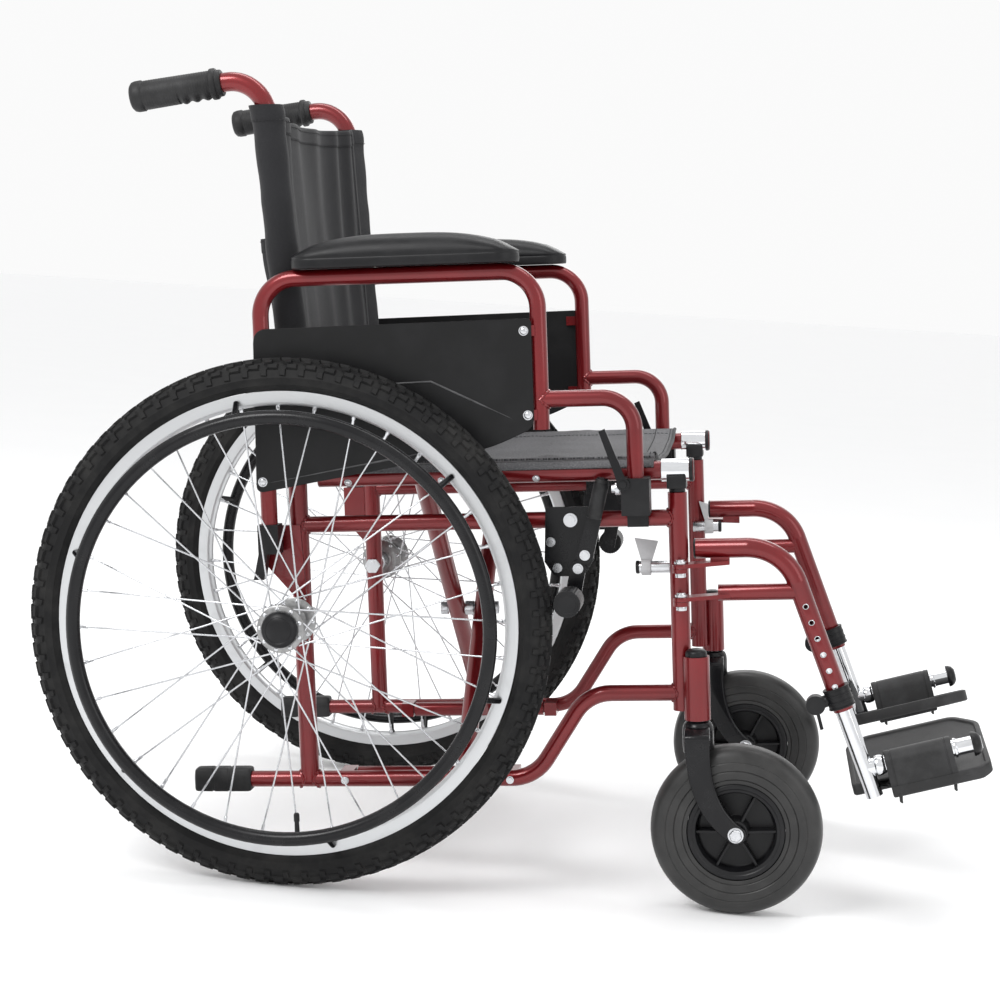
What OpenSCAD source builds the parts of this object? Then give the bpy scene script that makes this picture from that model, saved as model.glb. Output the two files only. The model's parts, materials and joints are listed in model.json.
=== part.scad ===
// Folding manual wheelchair with large spoked rear wheels and solid front casters.
// Units are millimetres, +X points forward, +Y to the user's left, +Z up.
// The origin is on the floor, midway between the rearmost and foremost points.
// The frame is designed level about the rear axle, then pitched nose up.
// Each side module is drawn for the left side, and the right side is its mirror image.

/* [Overall] */
// Half the distance between the two side frames
frame_y = 220; // [180:1:250]
// Nose-up pitch of the whole frame over the floor
frame_pitch = 5.43; // [0:0.01:8]
// Length from the rear uprights to the front posts
frame_len = 442.5; // [400:0.5:480]
// Outer diameter of the uprights, posts, canes and seat rails
upright_d = 22; // [20:0.5:28]
// Outer diameter of the level frame tubes and armrest tubes
rail_d = 19; // [16:0.5:22]
// Radial clearance of running fits
run_fit = 0.05; // [0.02:0.01:0.1]
// Gap left between parts that rest against each other
seat_gap = 0.3; // [0.2:0.05:0.5]

/* [Rear wheels] */
// Outer radius of the rear tyres over the tread
wheel_r = 303.5; // [280:0.5:320]
// Distance from a side frame to the centre of its rear wheel
wheel_off = 77.5; // [60:0.5:100]
// Width of the rear tyre
tyre_w = 45; // [30:1:50]
// Depth of the aluminium rim
rim_depth = 16; // [10:1:20]
// Width of the aluminium rim
rim_w = 26; // [20:1:32]
// Number of spokes in each rear wheel
spoke_count = 36; // [24:4:36]
// Spoke diameter
spoke_d = 2; // [1.8:0.1:2.6]
// Drop from the inner edge of the rim to the middle of the handrim tube
handrim_in = 11.5; // [8:0.5:20]
// Diameter of the handrim tube
handrim_d = 16; // [14:1:22]
// How far the handrim stands outboard of the wheel centre
handrim_off = 45; // [36:1:60]
// Number of struts that hold the handrim to the rim
strut_count = 6; // [5:1:8]
// Radius of the hub flanges
flange_r = 27; // [22:1:34]
// Rear axle bolt diameter
axle_d = 12.6; // [10:0.1:14]

/* [Casters] */
// Outer radius of the front casters
caster_r = 98.5; // [75:0.5:105]
// Width of the caster tyre
caster_w = 44; // [30:1:50]
// Distance outwards from a side frame to its caster
caster_off = 16; // [0:1:30]
// Distance from the front post forward to the caster stem
stem_reach = 17.5; // [10:0.5:28]
// How far the caster wheel sits ahead of its stem
caster_trail = 41; // [35:1:60]
// Radius of the caster housing on the front post
housing_r = 15; // [13:0.5:18]

/* [Back and arms] */
// Height of the straight part of the back canes over the axle
cane_break = 335; // [300:1:380]
// Height of the top corner of the back canes over the axle
cane_top = 623; // [560:1:660]
// How far the cane top leans back
cane_lean = 16; // [0:1:60]
// How far the cane top stands outboard of the frame
cane_splay = 12; // [0:1:16]
// Length of the push handle behind the cane
handle_len = 152; // [120:1:180]
// Outer diameter of the push grips
grip_d = 36; // [30:1:40]
// Distance outwards from a side frame to its armrest tube
arm_off = 34; // [30:0.5:38]
// Height of the top armrest tube over the axle
arm_z = 391.5; // [340:0.5:430]
// Position of the rear leg of the armrest
arm_rear_x = -27; // [-34:1:-24]
// Distance from the front post back to the drop of the armrest
arm_front_back = 149.5; // [130:0.5:180]
// Distance from the front post back to the front leg of the armrest
arm_leg_back = 44.5; // [40:0.5:70]
// Height of the forward step of the armrest
arm_step_z = 246; // [220:1:270]
// Thickness of the arm pad
pad_h = 37.5; // [20:0.5:45]
// Width of the arm pad
pad_w = 54; // [40:1:60]

/* [Seat and cross brace] */
// Height of the seat rails over the axle
seat_rail_z = 159.6; // [150:0.1:180]
// Rear end of the seat rails
seat_rear_x = 26; // [22:1:60]
// Distance the seat rails run past the front post
seat_reach = 14.5; // [0:0.5:30]
// Inboard distance from a side frame to the lower brace pivot
pivot_in = 23; // [20:0.5:30]
// Diameter of the two crossing brace tubes
brace_d = 22; // [19:0.5:26]
// Position of the rear brace along the frame
brace_rear_x = 148; // [100:1:220]
// Spacing of the two brace tubes along the frame
brace_step = 33; // [26:1:44]
// Radius of the fixed lower pivot rod
pivot_rod_r = 6; // [4:0.5:8]
// Thickness of the seat upholstery where it lies on the rails
seat_t = 8; // [4:1:12]

/* [Footrests] */
// Distance inwards from a side frame to its hanger tube
hanger_in = 8; // [4:1:15]
// Outer diameter of the hanger tubes
hanger_d = 23; // [22:0.5:28]
// Height of the hanger top tube over the axle
hanger_z = 68; // [60:1:80]
// Lean of the hanger's front tube from the frame's vertical
hanger_lean = 18.5; // [10:0.5:25]
// Length of footrest tube that can be drawn out
foot_travel = 60; // [20:5:80]
// Diameter of the chromed footrest tube
foot_tube_d = 20; // [16:0.5:22]
// Upward slope of the footplate towards its front, over the frame
foot_pitch = 12.9; // [5:0.1:20]
// Sideways tilt of the footplate, inner edge up
plate_cant = 11; // [0:1:15]
// Length of the footplate
plate_len = 160; // [120:1:180]
// Width of the footplate
plate_w = 164; // [120:1:170]
// Thickness of the footplate
plate_t = 14; // [8:1:18]

/* [Hidden] */
$fn = 64;
paint = [0.42, 0.07, 0.08];
black = [0.07, 0.07, 0.075];
rubber = [0.09, 0.09, 0.09];
silver = [0.75, 0.76, 0.78];
cloth = [0.12, 0.12, 0.13];
wheel_y = frame_y + wheel_off;
caster_y = frame_y + caster_off;
arm_y = frame_y + arm_off;
hanger_y = frame_y - hanger_in;
stem_x = frame_len + stem_reach;
arm_leg_x = frame_len - arm_leg_back;
arm_front_x = frame_len - arm_front_back;
seat_front_x = frame_len + seat_reach;
ru = upright_d / 2;
rr = rail_d / 2;
rh = hanger_d / 2;
axle_h = wheel_r;
mid_z = 105;
low_z = -197.5;
raise_z = -98;
post_top = 134.2;
post_bot = -118;
low_end_x = -105;
caster_x = stem_x + caster_trail;
cp = cos(frame_pitch);
sp = sin(frame_pitch);
caster_z = (caster_r - axle_h - caster_x * sp) / cp;
housing_bot = -126;
housing_top = -53;
rim_out = wheel_r - 37;
rim_in = rim_out - rim_depth;
handrim_r = rim_in - handrim_in;
hub_r = caster_r - 42.5;
cane_top_y = frame_y + cane_splay;
handle_drop = 17;
brace_front_x = brace_rear_x + brace_step;
pivot_y = frame_y - pivot_in;
pivot_z = low_z;
cross_z = pivot_z + (seat_rail_z - pivot_z) * pivot_y / (pivot_y + frame_y);
sleeve_r = 9.5;
sleeve_len = 176;
sleeve_x0 = 54;
foot_x = frame_len + 206;
foot_z = -189.4;
foot_y = hanger_y;
hx = sin(hanger_lean);
hz = -cos(hanger_lean);
corner_x = foot_x - (hanger_z - foot_z) * hx / -hz;
hanger_end_s = 197;
hinge_x = frame_len + 2.5;
hinge_y = frame_y + 22;
hinge_r = 4;
latch_z = 46;
cap_r = min(housing_r, norm([stem_x - frame_len, caster_y - frame_y]) - ru - seat_gap);
front_reach = foot_x * cp - foot_z * sp + (plate_len - 20) * cos(foot_pitch + frame_pitch)
    + 36 * sin(foot_pitch + frame_pitch);
axle_x = (wheel_r - front_reach) / 2;

function unit(v) = v / norm(v);
function perp(u, v) = unit(v - u * (u * v));

// Solid rod of radius r from point a to point b.
module rod(a, b, r) {
    w = unit(b - a);
    h = abs(w[2]) > 0.9 ? [1, 0, 0] : [0, 0, 1];
    x = unit(cross(h, w));
    y = cross(w, x);
    multmatrix([[x[0], y[0], w[0], a[0]], [x[1], y[1], w[1], a[1]], [x[2], y[2], w[2], a[2]]])
        cylinder(r = r, h = norm(b - a));
}

// Quarter or part bend of a tube: starts at point a with direction u and turns towards v.
module bend(a, u, v, bend_r, r) {
    n = perp(u, v);
    c = a + n * bend_r;
    w = cross(-n, u);
    turn = acos(u * v);
    multmatrix([[-n[0], u[0], w[0], c[0]], [-n[1], u[1], w[1], c[1]], [-n[2], u[2], w[2], c[2]]])
        rotate_extrude(angle = turn) translate([bend_r, 0]) circle(r = r);
}

// Round bar that follows the corner points p, with bend radii b at the inner corners.
// Each bend is a hair thicker than the straights that run into it.
module pipe(p, b, r) {
    last = len(p) - 1;
    lap = 0.4;
    dirs = [for (i = [0 : last - 1]) unit(p[i + 1] - p[i])];
    cut = [for (i = [0 : last]) i == 0 || i == last ? 0
        : b[i - 1] * tan(acos(dirs[i - 1] * dirs[i]) / 2)];
    union() {
        for (i = [0 : last - 1])
            rod(p[i] + dirs[i] * (cut[i] - (i > 0 ? lap : 0)),
                p[i + 1] - dirs[i] * (cut[i + 1] - (i + 1 < last ? lap : 0)), r);
        for (i = [1 : last - 1])
            bend(p[i] - dirs[i - 1] * cut[i], dirs[i - 1], dirs[i], b[i - 1], r + 0.04);
    }
}

// Cylinder along Y from y0 to y1 at the place (x, z).
module ybar(x, z, y0, y1, r) {
    translate([x, y0, z]) rotate([-90, 0, 0]) cylinder(r = r, h = y1 - y0);
}

// Cylinder along X from x0 to x1 at the place (y, z).
module xbar(x0, x1, y, z, r) {
    translate([x0, y, z]) rotate([0, 90, 0]) cylinder(r = r, h = x1 - x0);
}

// Box given by its low and high corners.
module box(a, b) {
    translate(a) cube(b - a);
}

// Round-headed bolt head that stands out along +Y from the face y0.
module dome(x, z, y0, r, h) {
    ybar(x, z, y0, y0 + h * 0.6, r);
    ybar(x, z, y0 + h * 0.6, y0 + h, r * 0.7);
}

// Puts a level frame shape on the pitched frame.
module on_frame() {
    translate([axle_x, 0, axle_h]) rotate([0, -frame_pitch, 0]) children();
}

module on_left() {
    on_frame() children();
}

module on_right() {
    on_frame() mirror([0, 1, 0]) children();
}

// ---------------------------------------------------------------- side frame

module frame_shape() {
    lug = [hinge_x, hinge_y];
    difference() {
        union() {
            // upright, back cane and push handle
            pipe([[0, frame_y, low_z], [0, frame_y, cane_break], [-cane_lean, cane_top_y, cane_top],
                [-cane_lean - handle_len, cane_top_y, cane_top - handle_drop]], [120, 42], ru);
            rod([frame_len, frame_y, post_bot], [frame_len, frame_y, post_top], ru);
            rod([0, frame_y, mid_z], [frame_len, frame_y, mid_z], rr);
            // lower tube, raised at the front over the caster
            pipe([[low_end_x, frame_y, low_z], [268, frame_y, low_z], [333, frame_y, raise_z],
                [frame_len, frame_y, raise_z]], [50, 50], rr);
            translate([stem_x, caster_y, housing_bot])
                cylinder(r = housing_r, h = housing_top - housing_bot);
            // gusset behind the upright that carries the rear arm socket
            translate([0, frame_y + 13.7, 0]) rotate([90, 0, 0]) linear_extrude(9)
                polygon([[-40, 106], [4, 106], [8, 20], [-4, 20], [-40, 62]]);
            // lugs on the post for the swing-away hanger
            for (z = [44, 6]) translate([0, 0, z]) linear_extrude(5) {
                translate(lug) circle(r = 9);
                translate([hinge_x - 9, frame_y]) square([15, hinge_y - frame_y]);
            }
            // lower brace pivot: two blocks and a fixed rod
            for (x = [sleeve_x0 - 18, sleeve_x0 + sleeve_len + 2])
                box([x, pivot_y - 9, pivot_z - 9], [x + 16, frame_y, pivot_z + 9]);
            xbar(sleeve_x0 - 6, sleeve_x0 + sleeve_len + 6, pivot_y, pivot_z, pivot_rod_r);
        }
        ybar(0, 0, frame_y - 20, frame_y + 30, axle_d / 2 + run_fit);
        translate([stem_x, caster_y, housing_bot - 1])
            cylinder(r = 6 + run_fit, h = housing_top - housing_bot - 9);
        for (z = [40, 2]) translate([hinge_x, hinge_y, z]) cylinder(r = hinge_r + run_fit, h = 14);
    }
}

module plug_shape() {
    // hollow rubber foot on the rear end of the lower tube
    difference() {
        union() {
            box([-138, frame_y - 12, low_z - 13], [-70, frame_y + 12, low_z + 9]);
            xbar(-138, -70, frame_y, low_z + 5, 10.5);
        }
        xbar(low_end_x - 2, -60, frame_y, low_z, rr + seat_gap);
    }
    // cap over the caster housing
    translate([stem_x, caster_y, housing_top + 0.1]) cylinder(r = cap_r, h = 4);
    translate([stem_x, caster_y, housing_top + 4.1]) cylinder(r1 = cap_r, r2 = cap_r - 5, h = 5);
    // saddle under the seat rail, on top of the front post
    difference() {
        union() {
            translate([frame_len, frame_y, post_top + 0.1]) cylinder(r = 9.5, h = 8);
            box([frame_len - 11, frame_y - 15, post_top + 5], [frame_len + 11, frame_y + 15, post_top + 20]);
        }
        xbar(frame_len - 20, frame_len + 20, frame_y, seat_rail_z, ru + 2);
    }
}

module grip_shape() {
    a = [-cane_lean - handle_len, cane_top_y, cane_top - handle_drop];
    b = [-cane_lean, cane_top_y, cane_top];
    w = unit(b - a);
    difference() {
        union() {
            rod(a - w * 5, a + w * 98, grip_d / 2);
            rod(a + w * 90, a + w * 104, grip_d / 2 - 2);
        }
        rod(a - w * 0.2, a + w * 120, ru + 0.1);
    }
}

module socket_shape() {
    difference() {
        union() {
            box([arm_leg_x - 16, arm_y - 16, 113], [arm_leg_x + 16, arm_y + 16, 155]);
            box([arm_leg_x - 12, frame_y + rr + 0.2, 97], [arm_leg_x + 12, arm_y - 15, 150]);
            ybar(arm_leg_x - 13, 149, arm_y + 16, arm_y + 22, 4);
        }
        translate([arm_leg_x, arm_y, 112]) cylinder(r = rr + 0.1, h = 50);
    }
    difference() {
        union() {
            box([arm_rear_x - 12, arm_y - 12, 76], [arm_rear_x + 12, arm_y + 12, 110]);
            box([arm_rear_x - 10, frame_y + 13.9, 80], [arm_rear_x + 10, arm_y - 11, 105]);
            // release tongue under the rear socket
            translate([0, arm_y + 8, 0]) rotate([90, 0, 0]) linear_extrude(16)
                polygon([[arm_rear_x - 12, 80], [arm_rear_x - 2, 80], [arm_rear_x - 8, 46], [arm_rear_x - 20, 46]]);
        }
        translate([arm_rear_x, arm_y, 79]) cylinder(r = rr + 0.1, h = 50);
    }
}

module bolt_shape(latch_dir) {
    // hinge bolts of the hanger
    for (z = [44, 6]) {
        translate([hinge_x, hinge_y, z - 5]) cylinder(r = 6, h = 4.9);
        translate([hinge_x, hinge_y, z - 4]) cylinder(r = hinge_r, h = 19);
        translate([hinge_x, hinge_y, z + 10.2]) cylinder(r = 7, h = 3);
        translate([hinge_x, hinge_y, z + 13.2]) cylinder(r = 4.8, h = 2);
    }
    // latch barrel beside the front post
    xbar(latch_dir > 0 ? frame_len - 4 : 393, latch_dir > 0 ? frame_len + 32 : frame_len + 4,
        frame_y - ru - 7 - 0.3, latch_z, 7);
    // screws of the pivot blocks
    for (x = [sleeve_x0 - 10, sleeve_x0 + sleeve_len + 10])
        dome(x, low_z, frame_y + rr + 0.1, 4.5, 4);
    // clamp screws and pivots of the brake
    dome(320.6, mid_z + 1, frame_y + 14.1, 8, 6);
    dome(297, 81, frame_y + 14.1, 5.5, 4);
    dome(304, 51, frame_y + 14.1, 5.5, 4);
    ybar(337, 66.5, frame_y + 14.1, frame_y + 25.8, 4);
    dome(337, 66.5, frame_y + 25.8, 6, 4);
    ybar(328, 50.4, frame_y + 14.1, frame_y + 18.6, 4);
    dome(328, 50.4, frame_y + 18.6, 6, 4);
    // pinch bolt of the front arm socket
    xbar(arm_leg_x - 28, arm_leg_x - 16.2, arm_y - 6, 142, 4.5);
    xbar(arm_leg_x - 24, arm_leg_x - 18, arm_y - 6, 142, 7);
}

module brake_bracket_shape() {
    difference() {
        union() {
            translate([0, frame_y + 14, 0]) rotate([90, 0, 0]) linear_extrude(4)
                polygon([[292, 121], [344, 121], [346, 60], [334, 41], [300, 41], [289, 58]]);
            box([296, frame_y - rr - 3, mid_z - 13], [341, frame_y + 12, mid_z + 13]);
        }
        xbar(280, 360, frame_y, mid_z, rr + 0.1);
    }
}

module brake_lever_shape() {
    difference() {
        union() {
            translate([0, frame_y + 25.5, 0]) rotate([90, 0, 0]) linear_extrude(5) {
                translate([337, 66.5]) circle(r = 10);
                polygon([[328.5, 70], [343, 116], [358, 112], [346, 62]]);
            }
            rod([349, frame_y + 29, 110], [359, frame_y + 29, 149], 8.5);
            rod([359, frame_y + 29, 149], [360.5, frame_y + 29, 155], 6.5);
        }
        ybar(337, 66.5, frame_y + 10, frame_y + 30, 4 + run_fit);
    }
}

module brake_shoe_shape() {
    difference() {
        union() {
            translate([0, frame_y + 18.3, 0]) rotate([90, 0, 0]) linear_extrude(4) {
                translate([328, 50.4]) circle(r = 9);
                translate([321, 19]) circle(r = 9);
                polygon([[319.2, 52], [312, 19], [330, 17.5], [337, 50]]);
            }
            ybar(321, 19, frame_y + 16, wheel_y - 32, 7);
            ybar(321, 19, wheel_y - 33, wheel_y + 9, 15);
        }
        ybar(328, 50.4, frame_y + 10, frame_y + 30, 4 + run_fit);
    }
}

// ---------------------------------------------------------------- rear wheel

module rear_tyre_shape() {
    sec = tyre_w / 2;
    translate([0, wheel_y, 0]) rotate([-90, 0, 0]) rotate_extrude($fn = 96) difference() {
        translate([wheel_r - sec, 0]) circle(r = sec);
        translate([wheel_r - 2 * sec - 5, -sec - 1]) square([rim_out + seat_gap - (wheel_r - 2 * sec - 5), tyre_w + 2]);
    }
}

module rear_rim_shape() {
    half = rim_w / 2;
    translate([0, wheel_y, 0]) rotate([-90, 0, 0]) rotate_extrude($fn = 96)
        polygon([[rim_in, -half + 4], [rim_in + 4, -half], [rim_out, -half], [rim_out, half],
            [rim_in + 4, half], [rim_in, half - 4]]);
}

module rear_spokes_shape() {
    group = spoke_count / 4;
    step = 360 / group;
    lace = 56;
    for (i = [0 : group - 1]) for (k = [0 : 3]) {
        out = k < 2 ? 1 : -1;
        lead = k % 2 == 0 ? 1 : -1;
        hub_y = wheel_y + (out > 0 ? 37.5 : -25.5) + lead * 1.3;
        rim_y = wheel_y + out * 3.3 + lead * 1.7;
        a0 = i * step + k * step / 4;
        a1 = a0 + lead * lace;
        p = [(flange_r + 0.2) * cos(a1), hub_y, (flange_r + 0.2) * sin(a1)];
        q = [(rim_in - 0.3) * cos(a0), rim_y, (rim_in - 0.3) * sin(a0)];
        w = unit(q - p);
        rod(p + w * 1.2, q - w * 0.1, spoke_d / 2);
    }
}

module rear_handrim_shape() {
    y = wheel_y + handrim_off;
    translate([0, y, 0]) rotate([-90, 0, 0]) rotate_extrude($fn = 96)
        translate([handrim_r, 0]) circle(r = handrim_d / 2);
    for (i = [0 : strut_count - 1]) rotate([0, i * 360 / strut_count + 20, 0])
        rod([rim_in + 7, wheel_y + rim_w / 2 + 2.1, 0], [handrim_r + 1, y - 4, 0], 3.5);
}

module rear_hub_shape() {
    difference() {
        union() {
            ybar(0, 0, wheel_y - 28, wheel_y + 41, 15);
            ybar(0, 0, wheel_y - 27, wheel_y - 24, flange_r);
            ybar(0, 0, wheel_y + 36, wheel_y + 39, flange_r);
            ybar(0, 0, wheel_y + 41, wheel_y + 48, 20);
            translate([0, wheel_y + 48, 0]) rotate([-90, 0, 0]) cylinder(r1 = 20, r2 = 15, h = 3);
        }
        ybar(0, 0, wheel_y - 30, wheel_y + 39, axle_d / 2 + run_fit);
    }
}

module rear_axle_shape() {
    ybar(0, 0, frame_y - ru - 8, wheel_y + 38, axle_d / 2);
    ybar(0, 0, frame_y + ru + 0.1, wheel_y - 28.4, 10.5);
    translate([0, frame_y - ru - 0.1, 0]) rotate([90, 0, 0]) cylinder(r = 10.5, h = 7.5, $fn = 6);
}

// ---------------------------------------------------------------- caster

module leg_profile() {
    n = 8;
    a = [0, -16];
    b = [-3, -96];
    c = [caster_trail, caster_z - housing_bot];
    pt = [for (i = [0 : n]) let (t = i / n) a * (1 - t) * (1 - t) + b * 2 * t * (1 - t) + c * t * t];
    tg = [for (i = [0 : n]) let (t = i / n) unit((b - a) * (1 - t) + (c - b) * t)];
    polygon(concat([for (i = [0 : n]) pt[i] + [-tg[i][1], tg[i][0]] * (15 - 4 * i / n)],
        [for (i = [n : -1 : 0]) pt[i] - [-tg[i][1], tg[i][0]] * (15 - 4 * i / n)]));
    translate(c) circle(r = 13);
}

module caster_fork_shape() {
    difference() {
        union() {
            translate([stem_x, caster_y, housing_bot - 26]) cylinder(r = 17, h = 21);
            translate([stem_x, caster_y, housing_bot - 5]) cylinder(r1 = 17, r2 = 11, h = 3.5);
            translate([stem_x, caster_y, housing_bot - 3]) cylinder(r = 6, h = 60);
            translate([stem_x - 15, caster_y - 33, housing_bot - 25]) cube([30, 66, 14]);
            for (s = [-1, 1]) translate([stem_x, caster_y + s * 29.5 + 3.5, housing_bot])
                rotate([90, 0, 0]) linear_extrude(7) leg_profile();
        }
        ybar(caster_x, caster_z, caster_y - 40, caster_y + 40, 4 + run_fit);
    }
}

module caster_tyre_shape() {
    half = caster_w / 2;
    sh = 14;
    translate([caster_x, caster_y, caster_z]) rotate([-90, 0, 0]) rotate_extrude($fn = 96) union() {
        translate([hub_r + seat_gap, -half]) square([caster_r - sh - hub_r - seat_gap, caster_w]);
        translate([caster_r - sh - 1, -half + sh]) square([sh + 1, caster_w - 2 * sh]);
        for (s = [-1, 1]) translate([caster_r - sh, s * (half - sh)]) circle(r = sh);
    }
}

module caster_hub_shape() {
    difference() {
        union() {
            difference() {
                ybar(caster_x, caster_z, caster_y - 20, caster_y + 20, hub_r);
                ybar(caster_x, caster_z, caster_y - 21, caster_y - 3, hub_r - 12);
                ybar(caster_x, caster_z, caster_y + 3, caster_y + 21, hub_r - 12);
            }
            ybar(caster_x, caster_z, caster_y - 24, caster_y + 24, 14);
            for (i = [0 : 5]) translate([caster_x, caster_y, caster_z]) rotate([0, i * 60, 0])
                translate([12, -16, -1.5]) cube([hub_r - 20, 32, 3]);
        }
        ybar(caster_x, caster_z, caster_y - 30, caster_y + 30, 4 + run_fit);
    }
}

module caster_bolt_shape() {
    ybar(caster_x, caster_z, caster_y - 35, caster_y + 35, 4);
    for (s = [-1, 1]) translate([caster_x, caster_y + s * 36, caster_z]) rotate([90, 0, 0])
        cylinder(r = 6.5, h = 5, center = true, $fn = 6);
}

// ---------------------------------------------------------------- armrest

module armrest_shape() {
    union() {
        pipe([[arm_rear_x, arm_y, 80], [arm_rear_x, arm_y, arm_z], [arm_front_x, arm_y, arm_z],
            [arm_front_x, arm_y, arm_step_z - 34]], [42, 42], rr);
        pipe([[arm_front_x, arm_y, arm_step_z], [arm_leg_x, arm_y, arm_step_z], [arm_leg_x, arm_y, 118]], [36], rr);
        for (z = [318, 223]) box([arm_front_x - 22, arm_y + 2, z], [arm_front_x - 3, arm_y + rr + 0.1, z + 12]);
    }
}

module arm_pad_shape() {
    translate([0, arm_y, arm_z + rr + 0.2]) linear_extrude(pad_h) {
        translate([12 + pad_w / 2, -pad_w / 2]) square([262 - pad_w, pad_w]);
        translate([12 + pad_w / 2, 0]) circle(r = pad_w / 2);
        translate([274 - pad_w / 2, 0]) circle(r = pad_w / 2);
    }
}

module skirt_guard_shape() {
    y0 = arm_y + rr + 0.3;
    translate([0, y0 + 2, 0]) rotate([90, 0, 0]) linear_extrude(2)
        polygon([[-34, 335], [286, 338], [286, 214.5], [234, 192], [-38, 147]]);
    dome(277.5, 324, y0 + 2.1, 5, 3);
    dome(279.5, 229, y0 + 2.1, 5, 3);
    dome(-30, 160, y0 + 2.1, 5, 3);
}

module arm_lock_shape() {
    difference() {
        union() {
            ybar(arm_leg_x - 13, 149, arm_y + 16.4, arm_y + 19.6, 7.5);
            translate([0, arm_y + 19.5, 0]) rotate([90, 0, 0]) linear_extrude(3)
                polygon([[arm_leg_x - 18, 147], [arm_leg_x - 8, 150], [arm_leg_x - 32, 212], [arm_leg_x - 39, 209]]);
        }
        ybar(arm_leg_x - 13, 149, arm_y, arm_y + 40, 4 + run_fit);
    }
}

// ---------------------------------------------------------------- hanger and footrest

module hanger_shape() {
    top = [foot_x - hx * hanger_end_s, foot_y, foot_z - hz * hanger_end_s];
    tip = [foot_x - hx * 72, foot_y, foot_z - hz * 72];
    difference() {
        union() {
            pipe([[frame_len + 18.5, hanger_y, hanger_z], [corner_x, hanger_y, hanger_z], tip], [60], rh);
            rod([frame_len + 43.5, hanger_y, 16.5], [foot_x - hx * 206 / 0.95, hanger_y, 16.5], 9.5);
            // hinge plates that slip over the hinge bolts
            for (z = [49.4, 11.4]) translate([0, 0, z]) linear_extrude(4.6) {
                translate([hinge_x, hinge_y]) circle(r = 9);
                polygon([[hinge_x, hinge_y - 9], [hinge_x + 14, hinge_y - 22], [frame_len + 57.5, hanger_y - 9],
                    [frame_len + 57.5, hanger_y + 9], [frame_len + 27.5, hinge_y - 4], [hinge_x, hinge_y + 9]]);
            }
            box([frame_len + 35.5, hanger_y - 6, 50], [frame_len + 57.5, hanger_y + 6, hanger_z]);
        }
        rod(tip + [hx, 0, hz] * 2, tip - [hx, 0, hz] * 128, foot_tube_d / 2 + run_fit);
        for (z = [49.4, 11.4]) translate([hinge_x, hinge_y, z - 1]) cylinder(r = hinge_r + run_fit, h = 8);
        // height holes on the outboard side
        for (i = [0 : 5]) {
            h = tip - [hx, 0, hz] * (30 + 19.6 * i);
            ybar(h[0], h[2], hanger_y, hanger_y + 20, 3);
        }
    }
}

module latch_lever_shape(latch_dir) {
    y = frame_y - ru - 7 - 0.3;
    x = latch_dir > 0 ? frame_len + 11.5 : frame_len - 44.5;
    wide = latch_dir > 0 ? 5 : 12;
    out = latch_dir > 0 ? 5 : 20;
    difference() {
        union() {
            xbar(x, x + 11, y, latch_z, 9.5);
            translate([0, y + 2, 0]) rotate([90, 0, 0]) linear_extrude(4)
                polygon([[x + 0.5, latch_z + 6], [x + wide, latch_z + 6], [x + out, latch_z + 30], [x - 7, latch_z + 34]]);
        }
        xbar(x - 30, x + 40, y, latch_z, 7 + run_fit);
    }
}

module height_clamp_shape() {
    a = [foot_x - hx * 76, foot_y, foot_z - hz * 76];
    b = [foot_x - hx * 100, foot_y, foot_z - hz * 100];
    k = (a + b) / 2;
    difference() {
        union() {
            rod(a, b, rh + 3.5);
            rod(k, k + [hz, 0, -hx] * 26, 7);
            translate([k[0] + hz * 28, foot_y, k[2] - hx * 28]) rotate([90, 0, 0])
                cylinder(r = 11, h = 16, center = true);
            rod([k[0] + hz * 28, foot_y, k[2] - hx * 28], [k[0] - 20, foot_y, k[2] - 38], 2);
        }
        rod(a + [hx, 0, hz] * 5, b - [hx, 0, hz] * 5, rh + run_fit);
    }
}

module footrest_tube_shape() {
    union() {
        rod([foot_x, foot_y, foot_z] - [hx, 0, hz] * 160, [foot_x, foot_y, foot_z] + [hx, 0, hz] * 34, foot_tube_d / 2);
        on_foot() xbar(0, 124, 0, 0, 9.5);
    }
    on_foot() xbar(124.1, 128, 0, 0, 13.5);
    on_foot() translate([128, 0, 0]) rotate([0, 90, 0]) cylinder(r1 = 13.5, r2 = 7, h = 7);
}

module on_foot() {
    translate([foot_x, foot_y, foot_z]) rotate([0, -foot_pitch, 0]) children();
}

module footplate_shape() {
    x1 = plate_len - 20;
    y1 = 14 - plate_w;
    on_foot() difference() {
        union() {
            xbar(24, 101, 0, 0, 15);
            // block with its inner side square to the canted plate
            translate([24, 0, 0]) rotate([90, 0, 90]) linear_extrude(77)
                polygon([[15, 0], [-14.9, 2.9], [-14.9 - 39 * tan(plate_cant), -36.1], [15, -36.1]]);
            translate([0, 0, -36]) rotate([-plate_cant, 0, 0]) linear_extrude(plate_t)
                polygon([[24, 14], [x1 - 12, 14], [x1, 2], [x1, y1 + 32], [x1 - 28, y1],
                    [2, y1], [-20, y1 + 22], [-20, -15], [24, -15]]);
        }
        xbar(20, x1 + 10, 0, 0, 9.5 + run_fit);
        box([101.2, -16, -20], [x1 + 10, 30, 20]);
    }
}

// ---------------------------------------------------------------- cross brace

// Brace from the lower pivot on the left side to the seat rail on the right side.
module brace_shape(x) {
    lo = [x, pivot_y, pivot_z];
    hi = [x, -frame_y, seat_rail_z];
    difference() {
        union() {
            rod(lo, hi, brace_d / 2);
            xbar(sleeve_x0, sleeve_x0 + sleeve_len, pivot_y, pivot_z, sleeve_r);
            xbar(seat_rear_x, seat_front_x, -frame_y, seat_rail_z, ru);
            xbar(seat_front_x - 32, seat_front_x, -frame_y, seat_rail_z, ru + 1.6);
            xbar(seat_front_x, seat_front_x + 5, -frame_y, seat_rail_z, ru + 2);
        }
        xbar(sleeve_x0 - 1, sleeve_x0 + sleeve_len + 1, pivot_y, pivot_z, pivot_rod_r + run_fit);
        xbar(x - 30, x + 30, 0, cross_z, 5 + run_fit);
    }
}

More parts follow.
